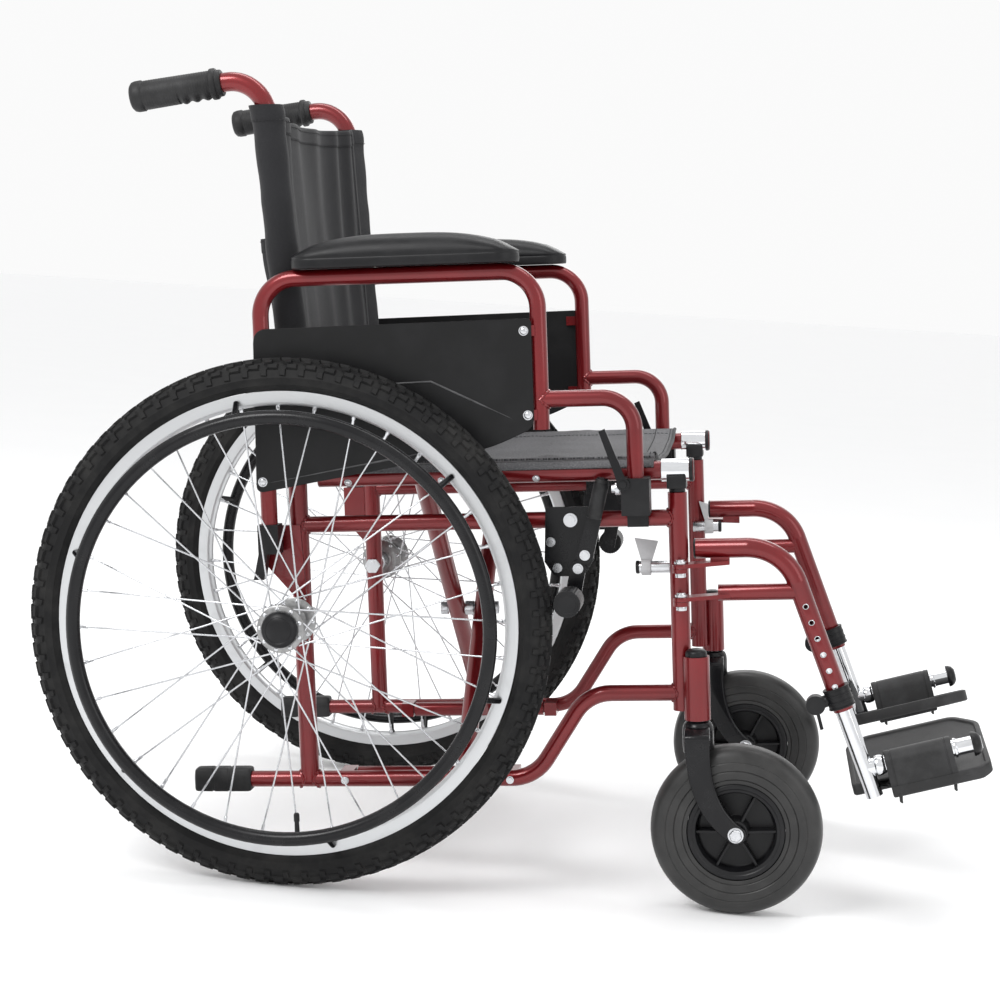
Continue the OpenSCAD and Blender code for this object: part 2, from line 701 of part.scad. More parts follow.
module cross_bolt_shape() {
    r = brace_d / 2;
    xbar(brace_rear_x - r - 4, brace_front_x + r + 4, 0, cross_z, 5);
    xbar(brace_rear_x + r + 0.2, brace_front_x - r - 0.2, 0, cross_z, 9);
    xbar(brace_rear_x - r - 9, brace_rear_x - r - 0.3, 0, cross_z, 8);
    xbar(brace_front_x + r + 0.3, brace_front_x + r + 9, 0, cross_z, 8);
}

// ---------------------------------------------------------------- upholstery

module seat_shape() {
    top = seat_rail_z + ru + 0.3;
    box([seat_rear_x + 4, -frame_y - 14, top], [seat_front_x - 40, frame_y + 14, top + seat_t]);
    box([seat_rear_x + 4, -frame_y + 16, top - 5], [seat_front_x - 40, frame_y - 16, top + 1]);
}

// Square fabric tube around a cane, open at both ends.
module cane_sleeve(h) {
    out = ru + 3;
    in = ru + seat_gap + 0.1;
    difference() {
        box([-out, -out, 0], [out, out, h]);
        box([-in, -in, -1], [in, in, h + 1]);
    }
}

module back_shape() {
    lo = 215;
    up = cane_top - 46;
    rise = cane_top - cane_break;
    tall = up - cane_break;
    splay = atan(cane_splay / rise);
    rake = atan(cane_lean / rise);
    edge = cane_splay * tall / rise;
    for (s = [-1, 1]) {
        translate([0, s * frame_y, lo]) cane_sleeve(cane_break - lo - 0.5);
        translate([0, s * frame_y, cane_break]) rotate([-s * splay, -rake, 0])
            translate([0, 0, 0.8]) cane_sleeve(tall);
    }
    box([-6, -frame_y + 12.5, lo], [4, frame_y - 12.5, cane_break + 1]);
    translate([0, 0, cane_break]) rotate([0, -rake, 0]) translate([4, 0, 0]) rotate([0, -90, 0])
        linear_extrude(10) polygon([[0, -frame_y + 12.5], [tall, -frame_y + 12.5 - edge],
            [tall, frame_y - 12.5 + edge], [0, frame_y - 12.5]]);
}

// ---------------------------------------------------------------- nodes

module right_side_frame() color(paint) on_right() frame_shape();
module right_frame_plugs() color(black) on_right() plug_shape();
module right_push_grip() color(rubber) on_right() grip_shape();
module right_arm_sockets() color(black) on_right() socket_shape();
module right_frame_bolts() color(silver) on_right() bolt_shape(-1);
module right_brake_bracket() color(black) on_right() brake_bracket_shape();
module right_brake_lever() color(black) on_right() brake_lever_shape();
module right_brake_shoe() color(black) on_right() brake_shoe_shape();
module right_rear_tyre() color(rubber) on_right() rear_tyre_shape();
module right_rear_rim() color(silver) on_right() rear_rim_shape();
module right_rear_spokes() color(silver) on_right() rear_spokes_shape();
module right_rear_handrim() color(black) on_right() rear_handrim_shape();
module right_rear_hub() color(silver) on_right() rear_hub_shape();
module right_rear_axle() color(silver) on_right() rear_axle_shape();
module right_caster_fork() color(black) on_right() caster_fork_shape();
module right_caster_tyre() color(rubber) on_right() caster_tyre_shape();
module right_caster_hub() color(black) on_right() caster_hub_shape();
module right_caster_bolt() color(silver) on_right() caster_bolt_shape();
module right_armrest_tube() color(paint) on_right() armrest_shape();
module right_arm_pad() color(black) on_right() arm_pad_shape();
module right_skirt_guard() color(black) on_right() skirt_guard_shape();
module right_arm_lock() color(black) on_right() arm_lock_shape();
module right_hanger() color(paint) on_right() hanger_shape();
module right_latch_lever() color(silver) on_right() latch_lever_shape(-1);
module right_height_clamp() color(black) on_right() height_clamp_shape();
module right_footrest_tube() color(silver) on_right() footrest_tube_shape();
module right_footplate() color(black) on_right() footplate_shape();

module left_side_frame() color(paint) on_left() frame_shape();
module left_frame_plugs() color(black) on_left() plug_shape();
module left_push_grip() color(rubber) on_left() grip_shape();
module left_arm_sockets() color(black) on_left() socket_shape();
module left_frame_bolts() color(silver) on_left() bolt_shape(1);
module left_brake_bracket() color(black) on_left() brake_bracket_shape();
module left_brake_lever() color(black) on_left() brake_lever_shape();
module left_brake_shoe() color(black) on_left() brake_shoe_shape();
module left_rear_tyre() color(rubber) on_left() rear_tyre_shape();
module left_rear_rim() color(silver) on_left() rear_rim_shape();
module left_rear_spokes() color(silver) on_left() rear_spokes_shape();
module left_rear_handrim() color(black) on_left() rear_handrim_shape();
module left_rear_hub() color(silver) on_left() rear_hub_shape();
module left_rear_axle() color(silver) on_left() rear_axle_shape();
module left_caster_fork() color(black) on_left() caster_fork_shape();
module left_caster_tyre() color(rubber) on_left() caster_tyre_shape();
module left_caster_hub() color(black) on_left() caster_hub_shape();
module left_caster_bolt() color(silver) on_left() caster_bolt_shape();
module left_armrest_tube() color(paint) on_left() armrest_shape();
module left_arm_pad() color(black) on_left() arm_pad_shape();
module left_skirt_guard() color(black) on_left() skirt_guard_shape();
module left_arm_lock() color(black) on_left() arm_lock_shape();
module left_hanger() color(paint) on_left() hanger_shape();
module left_latch_lever() color(silver) on_left() latch_lever_shape(1);
module left_height_clamp() color(black) on_left() height_clamp_shape();
module left_footrest_tube() color(silver) on_left() footrest_tube_shape();
module left_footplate() color(black) on_left() footplate_shape();

module brace_rear() color(paint) on_frame() brace_shape(brace_rear_x);
module brace_front() color(paint) on_frame() mirror([0, 1, 0]) brace_shape(brace_front_x);
module cross_bolt() color(silver) on_frame() cross_bolt_shape();
module seat_sling() color(cloth) on_frame() seat_shape();
module back_sling() color(cloth) on_frame() back_shape();

right_side_frame();
right_frame_plugs();
right_push_grip();
right_arm_sockets();
right_frame_bolts();
right_brake_bracket();
right_brake_lever();
right_brake_shoe();
right_rear_tyre();
right_rear_rim();
right_rear_spokes();
right_rear_handrim();
right_rear_hub();
right_rear_axle();
right_caster_fork();
right_caster_tyre();
right_caster_hub();
right_caster_bolt();
right_armrest_tube();
right_arm_pad();
right_skirt_guard();
right_arm_lock();
right_hanger();
right_latch_lever();
right_height_clamp();
right_footrest_tube();
right_footplate();
left_side_frame();
left_frame_plugs();
left_push_grip();
left_arm_sockets();
left_frame_bolts();
left_brake_bracket();
left_brake_lever();
left_brake_shoe();
left_rear_tyre();
left_rear_rim();
left_rear_spokes();
left_rear_handrim();
left_rear_hub();
left_rear_axle();
left_caster_fork();
left_caster_tyre();
left_caster_hub();
left_caster_bolt();
left_armrest_tube();
left_arm_pad();
left_skirt_guard();
left_arm_lock();
left_hanger();
left_latch_lever();
left_height_clamp();
left_footrest_tube();
left_footplate();
brace_rear();
brace_front();
cross_bolt();
seat_sling();
back_sling();
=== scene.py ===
# %% [markdown]
# This lesson dresses a folding manual wheelchair. The working frame with its
# joints already exists, and every piece made here is laid around it in the
# same frame, in metres, with X forward, Y to the user's left and Z up.

# %% Load the chair's frame
import json
import math
from math import atan2, cos, hypot, pi, radians, sin

import bmesh
import bpy
from mathutils import Matrix, Vector, noise


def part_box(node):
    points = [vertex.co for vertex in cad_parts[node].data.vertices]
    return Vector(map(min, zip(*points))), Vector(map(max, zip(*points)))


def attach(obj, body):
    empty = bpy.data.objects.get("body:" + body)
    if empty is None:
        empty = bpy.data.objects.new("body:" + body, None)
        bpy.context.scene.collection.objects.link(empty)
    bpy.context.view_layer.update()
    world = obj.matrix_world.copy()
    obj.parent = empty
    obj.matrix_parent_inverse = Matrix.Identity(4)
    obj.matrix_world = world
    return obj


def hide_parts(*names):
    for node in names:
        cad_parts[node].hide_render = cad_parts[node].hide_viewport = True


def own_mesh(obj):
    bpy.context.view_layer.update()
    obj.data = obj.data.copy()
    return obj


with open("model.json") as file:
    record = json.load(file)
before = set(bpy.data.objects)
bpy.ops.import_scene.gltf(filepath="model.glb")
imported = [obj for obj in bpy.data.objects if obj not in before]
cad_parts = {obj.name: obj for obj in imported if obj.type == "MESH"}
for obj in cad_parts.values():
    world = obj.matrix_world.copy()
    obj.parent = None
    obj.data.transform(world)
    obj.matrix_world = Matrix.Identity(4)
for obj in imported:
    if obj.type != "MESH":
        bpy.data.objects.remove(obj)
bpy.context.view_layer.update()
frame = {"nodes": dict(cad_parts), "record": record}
SLOT_OF = {part["node"]: part["material_slot"] for part in frame["record"]["subparts"]}

# %% [markdown]
# The chair is drawn level, in millimetres about the rear axle, and then
# pitched nose up. One function turns such a level point into the real place,
# so each size below reads like a size on a workshop drawing.

# %% The level frame and its main sizes
MM = 0.001
PITCH = radians(5.43)
tyre_low, tyre_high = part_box("left_rear_tyre")
AXLE = (tyre_low + tyre_high) / 2
SIDES = {"left": 1, "right": -1}
FRAME_Y, TUBE_R, RAIL_R = 220, 11, 9.5
FRAME_LEN, MID_Z, LOW_Z, RAISE_Z = 442.5, 105, -197.5, -98
WHEEL_R, WHEEL_Y, RIM_IN = 303.5, 297.5, 250.5
TYRE_CORE_R = WHEEL_R - 22.5
STEM_X, CASTER_X, CASTER_Y, CASTER_R = 460, 501, 236, 98.5
HOUSING_LOW, HOUSING_TOP, POST_TOP = -126, -53, 134.3
ARM_Y, ARM_Z, ARM_FRONT_X, ARM_STEP_Z = 254, 391.5, 293, 246
SEAT_Z, CANE_BREAK, CANE_TOP, CANE_LEAN, CANE_SPLAY = 159.6, 335, 623, 16, 12
HANGER_Y, HANGER_R, HANGER_Z, HANGER_LEAN = 212, 11.5, 68, radians(18.5)
FOOT_X, FOOT_Z, FOOT_PITCH, PLATE_CANT, PLATE_DROP = 648.5, -189.4, radians(12.9), radians(11), -36
CASTER_Z = (CASTER_R - WHEEL_R - CASTER_X * sin(PITCH)) / cos(PITCH)


def chair_point(x, y, z):
    """The real place, in metres, of a point of the level frame in millimetres."""
    return Vector((AXLE.x + (x * cos(PITCH) - z * sin(PITCH)) * MM, y * MM,
                   AXLE.z + (x * sin(PITCH) + z * cos(PITCH)) * MM))


def foot_point(x, y, z):
    """A point of the footrest's own frame, as a point of the level frame."""
    return Vector((FOOT_X + x * cos(FOOT_PITCH) - z * sin(FOOT_PITCH), HANGER_Y + y,
                   FOOT_Z + x * sin(FOOT_PITCH) + z * cos(FOOT_PITCH)))


def plate_point(x, y, z):
    """A point of the canted footplate, as a point of the level frame."""
    return foot_point(x, y * cos(PLATE_CANT) + z * sin(PLATE_CANT),
                      PLATE_DROP - y * sin(PLATE_CANT) + z * cos(PLATE_CANT))


print("rear axle at", [round(c, 4) for c in AXLE])

# %% [markdown]
# Shader sums read best as plain arithmetic. This small class wraps a socket,
# and each operator adds the Math node that does the sum, also when the number
# comes first, as in 1 - mask.


# %% Sums on sockets
class Term:
    def __init__(self, tree, socket):
        self.tree, self.socket = tree, socket

    def math(self, operation, other=None, first=False):
        node = self.tree.nodes.new("ShaderNodeMath")
        node.operation = operation
        for slot, value in zip(node.inputs, (other, self) if first else (self, other)):
            if isinstance(value, Term):
                self.tree.links.new(value.socket, slot)
            elif value is not None:
                slot.default_value = value
        return Term(self.tree, node.outputs[0])

    def __add__(self, other): return self.math("ADD", other)
    def __radd__(self, other): return self.math("ADD", other, True)
    def __sub__(self, other): return self.math("SUBTRACT", other)
    def __rsub__(self, other): return self.math("SUBTRACT", other, True)
    def __mul__(self, other): return self.math("MULTIPLY", other)
    def __rmul__(self, other): return self.math("MULTIPLY", other, True)
    def __abs__(self): return self.math("ABSOLUTE")


# %% [markdown]
# A finish is one material. Its method `node` makes any other node: the type,
# then its settings, then the values or links of its sockets. Numbers that are
# the same all over the surface go straight onto the shader.


# %% One finish and its nodes
class Finish:
    def __init__(self, name, **constants):
        self.material = bpy.data.materials.new(name)
        self.material.use_nodes = True
        self.tree = self.material.node_tree
        self.shader = self.tree.nodes["Principled BSDF"]
        self.where = self.node("ShaderNodeTexCoord", output="Object")
        for socket, value in constants.items():
            self.shader.inputs[socket.replace("_", " ").title().replace("Ior", "IOR")].default_value = value

    def node(self, kind, settings=None, sockets=None, output=0):
        made = self.tree.nodes.new(kind)
        for name, value in (settings or {}).items():
            if name == "stops":
                for i, (place, colour) in enumerate(value):
                    stop = made.color_ramp.elements[i] if i < 2 else made.color_ramp.elements.new(place)
                    stop.position, stop.color = place, (*colour, 1)
            else:
                setattr(made, name, value)
        for name, value in (sockets or {}).items():
            if isinstance(value, Term):
                self.tree.links.new(value.socket, made.inputs[name])
            else:
                made.inputs[name].default_value = value
        return Term(self.tree, made.outputs[output])

    def feed(self, socket, term):
        self.tree.links.new(term.socket, self.shader.inputs[socket])

    def noise(self, scale, detail=3.0, rough=0.5, where=None):
        return self.node("ShaderNodeTexNoise", {}, {
            "Vector": where or self.where, "Scale": scale, "Detail": detail, "Roughness": rough})

    def stretch(self, x, y, z, where=None):
        return self.node("ShaderNodeVectorMath", {"operation": "MULTIPLY"},
                         {0: where or self.where, 1: (x, y, z)})

    def ramp(self, value, low, high):
        """0 below low, 1 above high, and straight in between."""
        return self.node("ShaderNodeMapRange", {}, {"Value": value, "From Min": low, "From Max": high})

    def mix(self, share, a, b):
        """Colour a where share is 0 and colour b where it is 1."""
        colour = {6: a if isinstance(a, Term) else (*a, 1), 7: b if isinstance(b, Term) else (*b, 1)}
        return self.node("ShaderNodeMix", {"data_type": "RGBA"}, {0: share, **colour}, 2)

    def bump(self, height, depth_mm, strength=0.6):
        self.feed("Normal", self.node("ShaderNodeBump", {}, {
            "Height": height, "Distance": depth_mm * MM, "Strength": strength}))


FINISH = {}

# %% [markdown]
# The frame's paint is a dark red with fine metal flakes under clear lacquer.
# Flakes are a fine noise that shifts the colour and the tilt of the surface,
# and a slow noise gives the tube the faint unevenness of sprayed paint.
# A few worn specks are duller and darker.

# %% Red metallic paint
paint = Finish("red metallic paint", metallic=0.5, coat_weight=0.55, coat_roughness=0.08, coat_ior=1.5)
flakes = paint.noise(2600, 2)
cloud = paint.noise(14, 3)
scuffs = paint.ramp(paint.noise(95, 5, 0.7), 0.66, 0.74)
tone = paint.mix(paint.ramp(flakes * 0.6 + cloud * 0.4, 0.35, 0.65), (0.110, 0.002, 0.004), (0.205, 0.004, 0.007))
paint.feed("Base Color", paint.mix(scuffs * 0.35, tone, (0.08, 0.008, 0.009)))
paint.feed("Roughness", paint.ramp(flakes, 0.2, 0.8) * 0.14 + scuffs * 0.18 + 0.24)
paint.bump(flakes * 0.35 + paint.noise(420, 2) * 0.65, 0.08, 0.25)
FINISH["red_paint"] = paint
print("paint nodes:", len(paint.tree.nodes))

# %% [markdown]
# Rubber comes in three kinds here: the grips' soft matt rubber, the tyres'
# dusty tread and the casters' dark solid tyre. All are dark with a fine
# grain. The tread holds pale dust in patches, and the solid tyre is glossier.

# %% Rubber for grips, treads and casters
grip = Finish("grip rubber", specular_ior_level=0.35)
pores = grip.noise(900, 3)
rubbed = grip.ramp(grip.noise(30, 4, 0.6), 0.42, 0.68)
grip.feed("Base Color", grip.mix(rubbed, (0.008, 0.008, 0.0085), (0.022, 0.022, 0.023)))
grip.feed("Roughness", rubbed * -0.10 + pores * 0.16 + 0.5)
grip.bump(pores, 0.12, 0.5)
FINISH["black_rubber"] = grip

tread = Finish("tread rubber", specular_ior_level=0.2)
dust = tread.ramp(tread.noise(22, 6, 0.65), 0.45, 0.75)
grain = tread.noise(1300, 2)
tread.feed("Base Color", tread.mix(dust * 0.55 + grain * 0.1, (0.006, 0.006, 0.0065), (0.040, 0.039, 0.037)))
tread.feed("Roughness", dust * 0.18 + grain * 0.12 + 0.52)
tread.bump(grain * 0.6 + tread.noise(260, 3) * 0.4, 0.15, 0.5)
FINISH["tread_rubber"] = tread

solid = Finish("caster rubber", specular_ior_level=0.5)
smear = solid.ramp(solid.noise(26, 5, 0.6), 0.4, 0.7)
grain = solid.noise(1100, 2)
solid.feed("Base Color", solid.mix(smear, (0.010, 0.0098, 0.0096), (0.026, 0.0255, 0.025)))
solid.feed("Roughness", smear * 0.14 + grain * 0.10 + 0.30)
solid.bump(grain, 0.06, 0.35)
FINISH["caster_rubber"] = solid

# %% [markdown]
# Black plastic, composite and painted steel differ mostly in grain: moulded
# parts have a fine leather-like texture, while powder paint has the rounded
# bumps of orange peel. One function makes each from its grain size, its two
# tones and its gloss.


# %% Moulded and painted black parts
def fine_black(name, dark, light, gloss, grain_scale, depth, wear, cells=False):
    finish = Finish(name, specular_ior_level=0.28)
    grain = (finish.node("ShaderNodeTexVoronoi", {"feature": "F1"}, {"Vector": finish.where, "Scale": grain_scale})
             if cells else finish.noise(grain_scale, 2))
    handled = finish.ramp(finish.noise(24, 5, 0.6), 0.45, 0.72)
    nicks = finish.ramp(finish.noise(150, 4, 0.7), 0.68, 0.74) * wear
    finish.feed("Base Color", finish.mix(handled * 0.7 + nicks, dark, light))
    finish.feed("Roughness", handled * 0.12 + grain * 0.10 + nicks * 0.2 + gloss)
    finish.bump(grain, depth, 0.5)
    return finish


# The pale grey finish for the skirt's crease beads paints the highlight that runs along the folds.
for slot, *look in (
        ("black_plastic", "black moulding", (0.006, 0.006, 0.007), (0.016, 0.016, 0.017), 0.30, 1400, 0.10, 0.3),
        ("black_composite", "filled nylon", (0.020, 0.020, 0.0205), (0.052, 0.052, 0.054), 0.42, 1000, 0.16, 0.6, True),
        ("black_steel", "black powder paint", (0.005, 0.005, 0.006), (0.014, 0.014, 0.015), 0.17, 620, 0.10, 0.5),
        ("black_panel", "black sheet", (0.004, 0.004, 0.0045), (0.010, 0.010, 0.011), 0.36, 800, 0.05, 0.4),
        ("grey_plastic", "grey moulding", (0.44, 0.44, 0.45), (0.62, 0.62, 0.63), 0.36, 1200, 0.08, 0.2),
        ("painted_highlight_crease", "painted crease highlight", (0.05, 0.05, 0.052), (0.16, 0.16, 0.165), 0.34, 800, 0.05, 0.4),
        ("pad_skin", "moulded pad skin", (0.005, 0.005, 0.006), (0.014, 0.014, 0.015), 0.30, 1500, 0.14, 0.3, True)):
    FINISH[slot] = fine_black(*look)

# %% [markdown]
# Bright metal is told apart by its marks. Zinc-plated bolts are slightly
# cloudy, chrome is clean with hair scratches, and the rims are turned, so
# their marks run round the wheel. The distance from the axle gives rings.

# %% Bright metals
zinc = Finish("bright zinc", metallic=1.0)
cloudy = zinc.noise(70, 4, 0.6)
zinc.feed("Base Color", zinc.mix(cloudy, (0.50, 0.51, 0.53), (0.74, 0.75, 0.77)))
zinc.feed("Roughness", cloudy * 0.22 + 0.16)
zinc.bump(zinc.noise(800, 2), 0.03, 0.3)
FINISH["zinc_steel"] = zinc

chrome = Finish("chrome", metallic=1.0)
hairs = chrome.noise(60, 4, 0.6, chrome.stretch(1, 12, 1))
chrome.feed("Base Color", chrome.mix(hairs, (0.66, 0.67, 0.69), (0.82, 0.83, 0.85)))
chrome.feed("Roughness", chrome.ramp(hairs, 0.5, 0.8) * 0.16 + 0.07)
chrome.bump(hairs, 0.01, 0.2)
FINISH["chrome"] = chrome

hub_metal = Finish("hub metal", metallic=1.0)
cast = hub_metal.noise(240, 3)
hub_metal.feed("Base Color", hub_metal.mix(cast, (0.16, 0.16, 0.16), (0.46, 0.46, 0.46)))
hub_metal.feed("Roughness", cast * 0.25 + 0.22)
hub_metal.bump(cast, 0.05, 0.4)
FINISH["hub_metal"] = hub_metal

alloy = Finish("turned aluminium", metallic=0.85)
apart = alloy.node("ShaderNodeVectorMath", {"operation": "SUBTRACT"}, {0: alloy.where, 1: tuple(AXLE)})
flat = alloy.stretch(1, 0, 1, apart)
far = alloy.node("ShaderNodeVectorMath", {"operation": "LENGTH"}, {0: flat}, output="Value")
rings = alloy.node("ShaderNodeCombineXYZ", {}, {"X": far * 900.0})
turned = alloy.noise(2.4, 3, 0.7, rings)
soil = alloy.ramp(alloy.noise(18, 5, 0.65), 0.55, 0.8)
bright = alloy.mix(turned, (0.50, 0.51, 0.52), (0.68, 0.69, 0.70))
alloy.feed("Base Color", alloy.mix(soil * 0.4, bright, (0.36, 0.36, 0.37)))
alloy.feed("Roughness", turned * 0.16 + soil * 0.15 + 0.26)
alloy.bump(turned, 0.03, 0.4)
FINISH["aluminium"] = alloy
print("metals made")

# %% [markdown]
# The seat and back are woven nylon. A plain weave is two rounded threads that
# take turns on top, so a checker picks which one shows and the absolute value
# of a sine rounds each thread. The sheets carry their own flat measure in
# metres, so the threads follow the cloth over its folds.


# %% Woven nylon
def woven(name, thread_mm, dark, light, heather, depth):
    finish = Finish(name, specular_ior_level=0.25, sheen_weight=0.12, sheen_roughness=0.5)
    cloth = finish.node("ShaderNodeTexCoord", output="UV")
    split = finish.node("ShaderNodeSeparateXYZ", {}, {0: cloth})
    across, along = split, Term(finish.tree, split.socket.node.outputs[1])
    turn = pi / (thread_mm * MM)
    warp = abs((across * turn).math("SINE"))
    weft = abs((along * turn).math("SINE"))
    top = finish.node("ShaderNodeTexChecker", {}, {
        "Vector": cloth, "Scale": 1 / (thread_mm * MM), "Color1": (1, 1, 1, 1), "Color2": (0, 0, 0, 1)}, "Fac")
    threads = top * warp + (1 - top) * weft
    fleck = finish.ramp(finish.noise(420, 2, 0.6, finish.stretch(1, 3, 1, cloth)), 0.48, 0.68)
    faded = finish.ramp(finish.noise(9, 4, 0.6), 0.4, 0.7)
    share = threads * 0.45 + fleck * heather + faded * 0.2
    finish.feed("Base Color", finish.mix(share, dark, light))
    finish.feed("Roughness", threads * -0.15 + 0.88)
    finish.bump(threads * 0.8 + fleck * 0.2, depth, 0.6)
    return finish


FINISH["seat_fabric"] = woven("woven seat nylon", 1.6, (0.007, 0.007, 0.008), (0.20, 0.20, 0.21), 0.7, 0.5)
FINISH["back_fabric"] = woven("woven back nylon", 1.1, (0.005, 0.005, 0.006), (0.026, 0.026, 0.029), 0.3, 0.25)
FINISH["thread"] = woven("sewing thread", 0.5, (0.010, 0.010, 0.011), (0.060, 0.060, 0.064), 0.2, 0.1)
print("finishes:", sorted(FINISH))

# %% [markdown]
# Every piece below is drawn once, for the left side, as a form: a list of
# points and the faces between them. A net of rows makes most surfaces: a
# turned part is a net of rings, a bent tube is a net of circles along a path,
# and a plate is a net of outlines. The right side is the same form mirrored.


# %% Forms made of nets
class Form:
    def __init__(self):
        self.points, self.faces, self.cloth = [], [], []

    def net(self, rows, around=True, along=False, caps=True, cloth=None):
        base, wide = len(self.points), len(rows[0])
        self.points += [Vector(p) for row in rows for p in row]
        self.cloth += cloth or [(0.0, 0.0)] * (len(rows) * wide)
        last_row, last = len(rows) if along else len(rows) - 1, wide if around else wide - 1
        for i in range(last_row):
            for k in range(last):
                a, b = base + i * wide, base + (i + 1) % len(rows) * wide
                self.faces.append([a + k, a + (k + 1) % wide, b + (k + 1) % wide, b + k])
        if caps and around and not along:
            self.faces.append([base + k for k in range(wide)][::-1])
            self.faces.append([base + (len(rows) - 1) * wide + k for k in range(wide)])

    def turn(self, at, axis, profile, sides=48, closed=False):
        """A turned part: profile holds (radius, distance along the axis) in order."""
        w, at = Vector(axis).normalized(), Vector(at)
        u = w.orthogonal().normalized()
        v = w.cross(u)
        ring = [u * cos(2 * pi * k / sides) + v * sin(2 * pi * k / sides) for k in range(sides)]
        self.net([[at + w * h + d * r for d in ring] for r, h in profile], along=closed)

    def tube(self, path, radius, sides=16, loop=False):
        """A round tube along a path; radius is a number or one number per point."""
        path = [Vector(p) for p in path]
        n, u, rows = len(path), None, []
        for i, p in enumerate(path):
            w = (path[(i + 1) % n] - path[i - 1]) if loop else path[min(i + 1, n - 1)] - path[max(i - 1, 0)]
            w.normalize()
            u = (u - w * u.dot(w)).normalized() if u else w.orthogonal().normalized()
            v, r = w.cross(u), radius[i] if isinstance(radius, list) else radius
            rows.append([p + (u * cos(2 * pi * k / sides) + v * sin(2 * pi * k / sides)) * r
                         for k in range(sides)])
        self.net(rows, along=loop)

    def plate(self, outline, low, high, place=lambda u, v, h: Vector((u, h, v))):
        """A flat plate; its outline lies in the XZ plane unless place says otherwise."""
        self.net([[place(u, v, h) for u, v in outline] for h in (low, high)])

    def dome(self, at, axis, radius, height, sides=24):
        """A round bolt head with a small flat washer under it."""
        curve = [(radius * 1.25, 0), (radius * 1.25, height * 0.22), (radius, height * 0.24)]
        curve += [(radius * cos(t), height * (0.3 + 0.7 * sin(t))) for t in (0, 0.4, 0.8, 1.15, 1.45)]
        self.turn(at, axis, curve, sides)


def rounded(outline, radius, steps=5):
    """The outline with each corner replaced by an arc; radius may be one number per corner."""
    made, n = [], len(outline)
    for i, corner in enumerate(outline):
        c = Vector(corner)
        before, after = (Vector(outline[i - 1]) - c), (Vector(outline[(i + 1) % n]) - c)
        r = radius[i] if isinstance(radius, list) else radius
        r = min(r, before.length * 0.45, after.length * 0.45)
        a, b = c + before.normalized() * r, c + after.normalized() * r
        for k in range(steps + 1):
            t = k / steps
            made.append(tuple(a * (1 - t) ** 2 + c * 2 * t * (1 - t) + b * t * t))
    return made


def inset(outline, d):
    """The outline moved inwards by d; it runs counter-clockwise."""
    made, n = [], len(outline)
    for i in range(n):
        p, q, r = Vector(outline[i - 1]), Vector(outline[i]), Vector(outline[(i + 1) % n])
        e, f = (q - p).normalized(), (r - q).normalized()
        m = Vector((-e.y - f.y, e.x + f.x))
        made.append(tuple(q + m * (d / max(m.length_squared / 2, 0.3))))
    return made


def turned(at, axis, profile, sides=48, closed=False):
    """A form that holds one turned part."""
    form = Form()
    form.turn(at, axis, profile, sides, closed)
    return form


# %% [markdown]
# Making a form real takes a few fixed steps: mirror it for the right side,
# move it to the pitched frame, round its hard edges with a small bevel, smooth
# the rest, and give it its finish and the body it rides on. Rounded edges
# catch the light, which tells the eye that a part is moulded or pressed.


# %% Making a form real
def settle(piece):
    """Replaces a piece's mesh by what its modifiers make of it."""
    graph = bpy.context.evaluated_depsgraph_get()
    piece.data = bpy.data.meshes.new_from_object(piece.evaluated_get(graph))
    piece.modifiers.clear()


def round_edges(piece, width, limit):
    """Bevels the edges that are sharper than limit degrees; width is in millimetres."""
    edge = piece.modifiers.new("edge", "BEVEL")
    edge.width, edge.segments, edge.limit_method, edge.angle_limit = width * MM, 2, "ANGLE", radians(limit)


def make(form, name, side, body, slot, bevel=0.0, angle=35, stands_for=(), sub=0, finish=None):
    flip = SIDES.get(side, 1)
    mesh = bpy.data.meshes.new(name)
    mesh.from_pydata([chair_point(p.x, p.y * flip, p.z) for p in form.points], [], form.faces)
    layer = mesh.uv_layers.new(name="cloth")
    for loop in mesh.loops:
        layer.data[loop.index].uv = form.cloth[loop.vertex_index]
    work = bmesh.new()
    work.from_mesh(mesh)
    bmesh.ops.remove_doubles(work, verts=work.verts, dist=1e-6)
    bmesh.ops.recalc_face_normals(work, faces=work.faces)
    work.to_mesh(mesh)
    work.free()
    piece = bpy.data.objects.new(name, mesh)
    bpy.context.scene.collection.objects.link(piece)
    if bevel:
        round_edges(piece, bevel, 30)
    if sub:
        piece.modifiers.new("smooth", "SUBSURF").levels = sub
        piece.modifiers["smooth"].render_levels = sub
    if bevel or sub:
        settle(piece)
    piece.data.polygons.foreach_set("use_smooth", [True] * len(piece.data.polygons))
    piece.data.set_sharp_from_angle(angle=radians(angle))
    piece.data.materials.clear()
    piece.data.materials.append(FINISH[finish or slot].material)
    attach(piece, body)
    if stands_for:
        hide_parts(*stands_for)
    return piece


RAIL_BODY = {"left": "brace_front", "right": "brace_rear"}


def pair(form, name, body, slot, node=None, **look):
    """Makes a piece for both sides; the body and the node it stands for are named without their side."""
    made = []
    for side in SIDES:
        rides = RAIL_BODY[side] if body == "rail" else f"{side}_{body}"
        stands_for = [f"{side}_{node}"] if node else ()
        made.append(make(form, f"{side}_{name}", side, rides, slot, stands_for=stands_for, **look))
    return made


print("form tools ready")

# %% [markdown]
# Most of the steel frame keeps its exact working shape, which already has its
# bends, bores and bolts. Those nodes only need their finish, and the brackets,
# levers and bolts among them a slight bevel on their hard edges.

# %% Finishes for the frame's own nodes
CRISP = ("arm_sockets", "brake_bracket", "brake_lever", "brake_shoe", "latch_lever", "frame_bolts",
         "arm_lock", "height_clamp", "hanger", "cross_bolt", "rear_axle", "caster_bolt")
for name, node in frame["nodes"].items():
    node.data.materials.clear()
    node.data.materials.append(FINISH[SLOT_OF[name]].material)
    if name.endswith(CRISP):
        node.modifiers.new("weld", "WELD").merge_threshold = 1e-5
        round_edges(node, 0.7, 40)
print("finished", len(frame["nodes"]), "nodes")

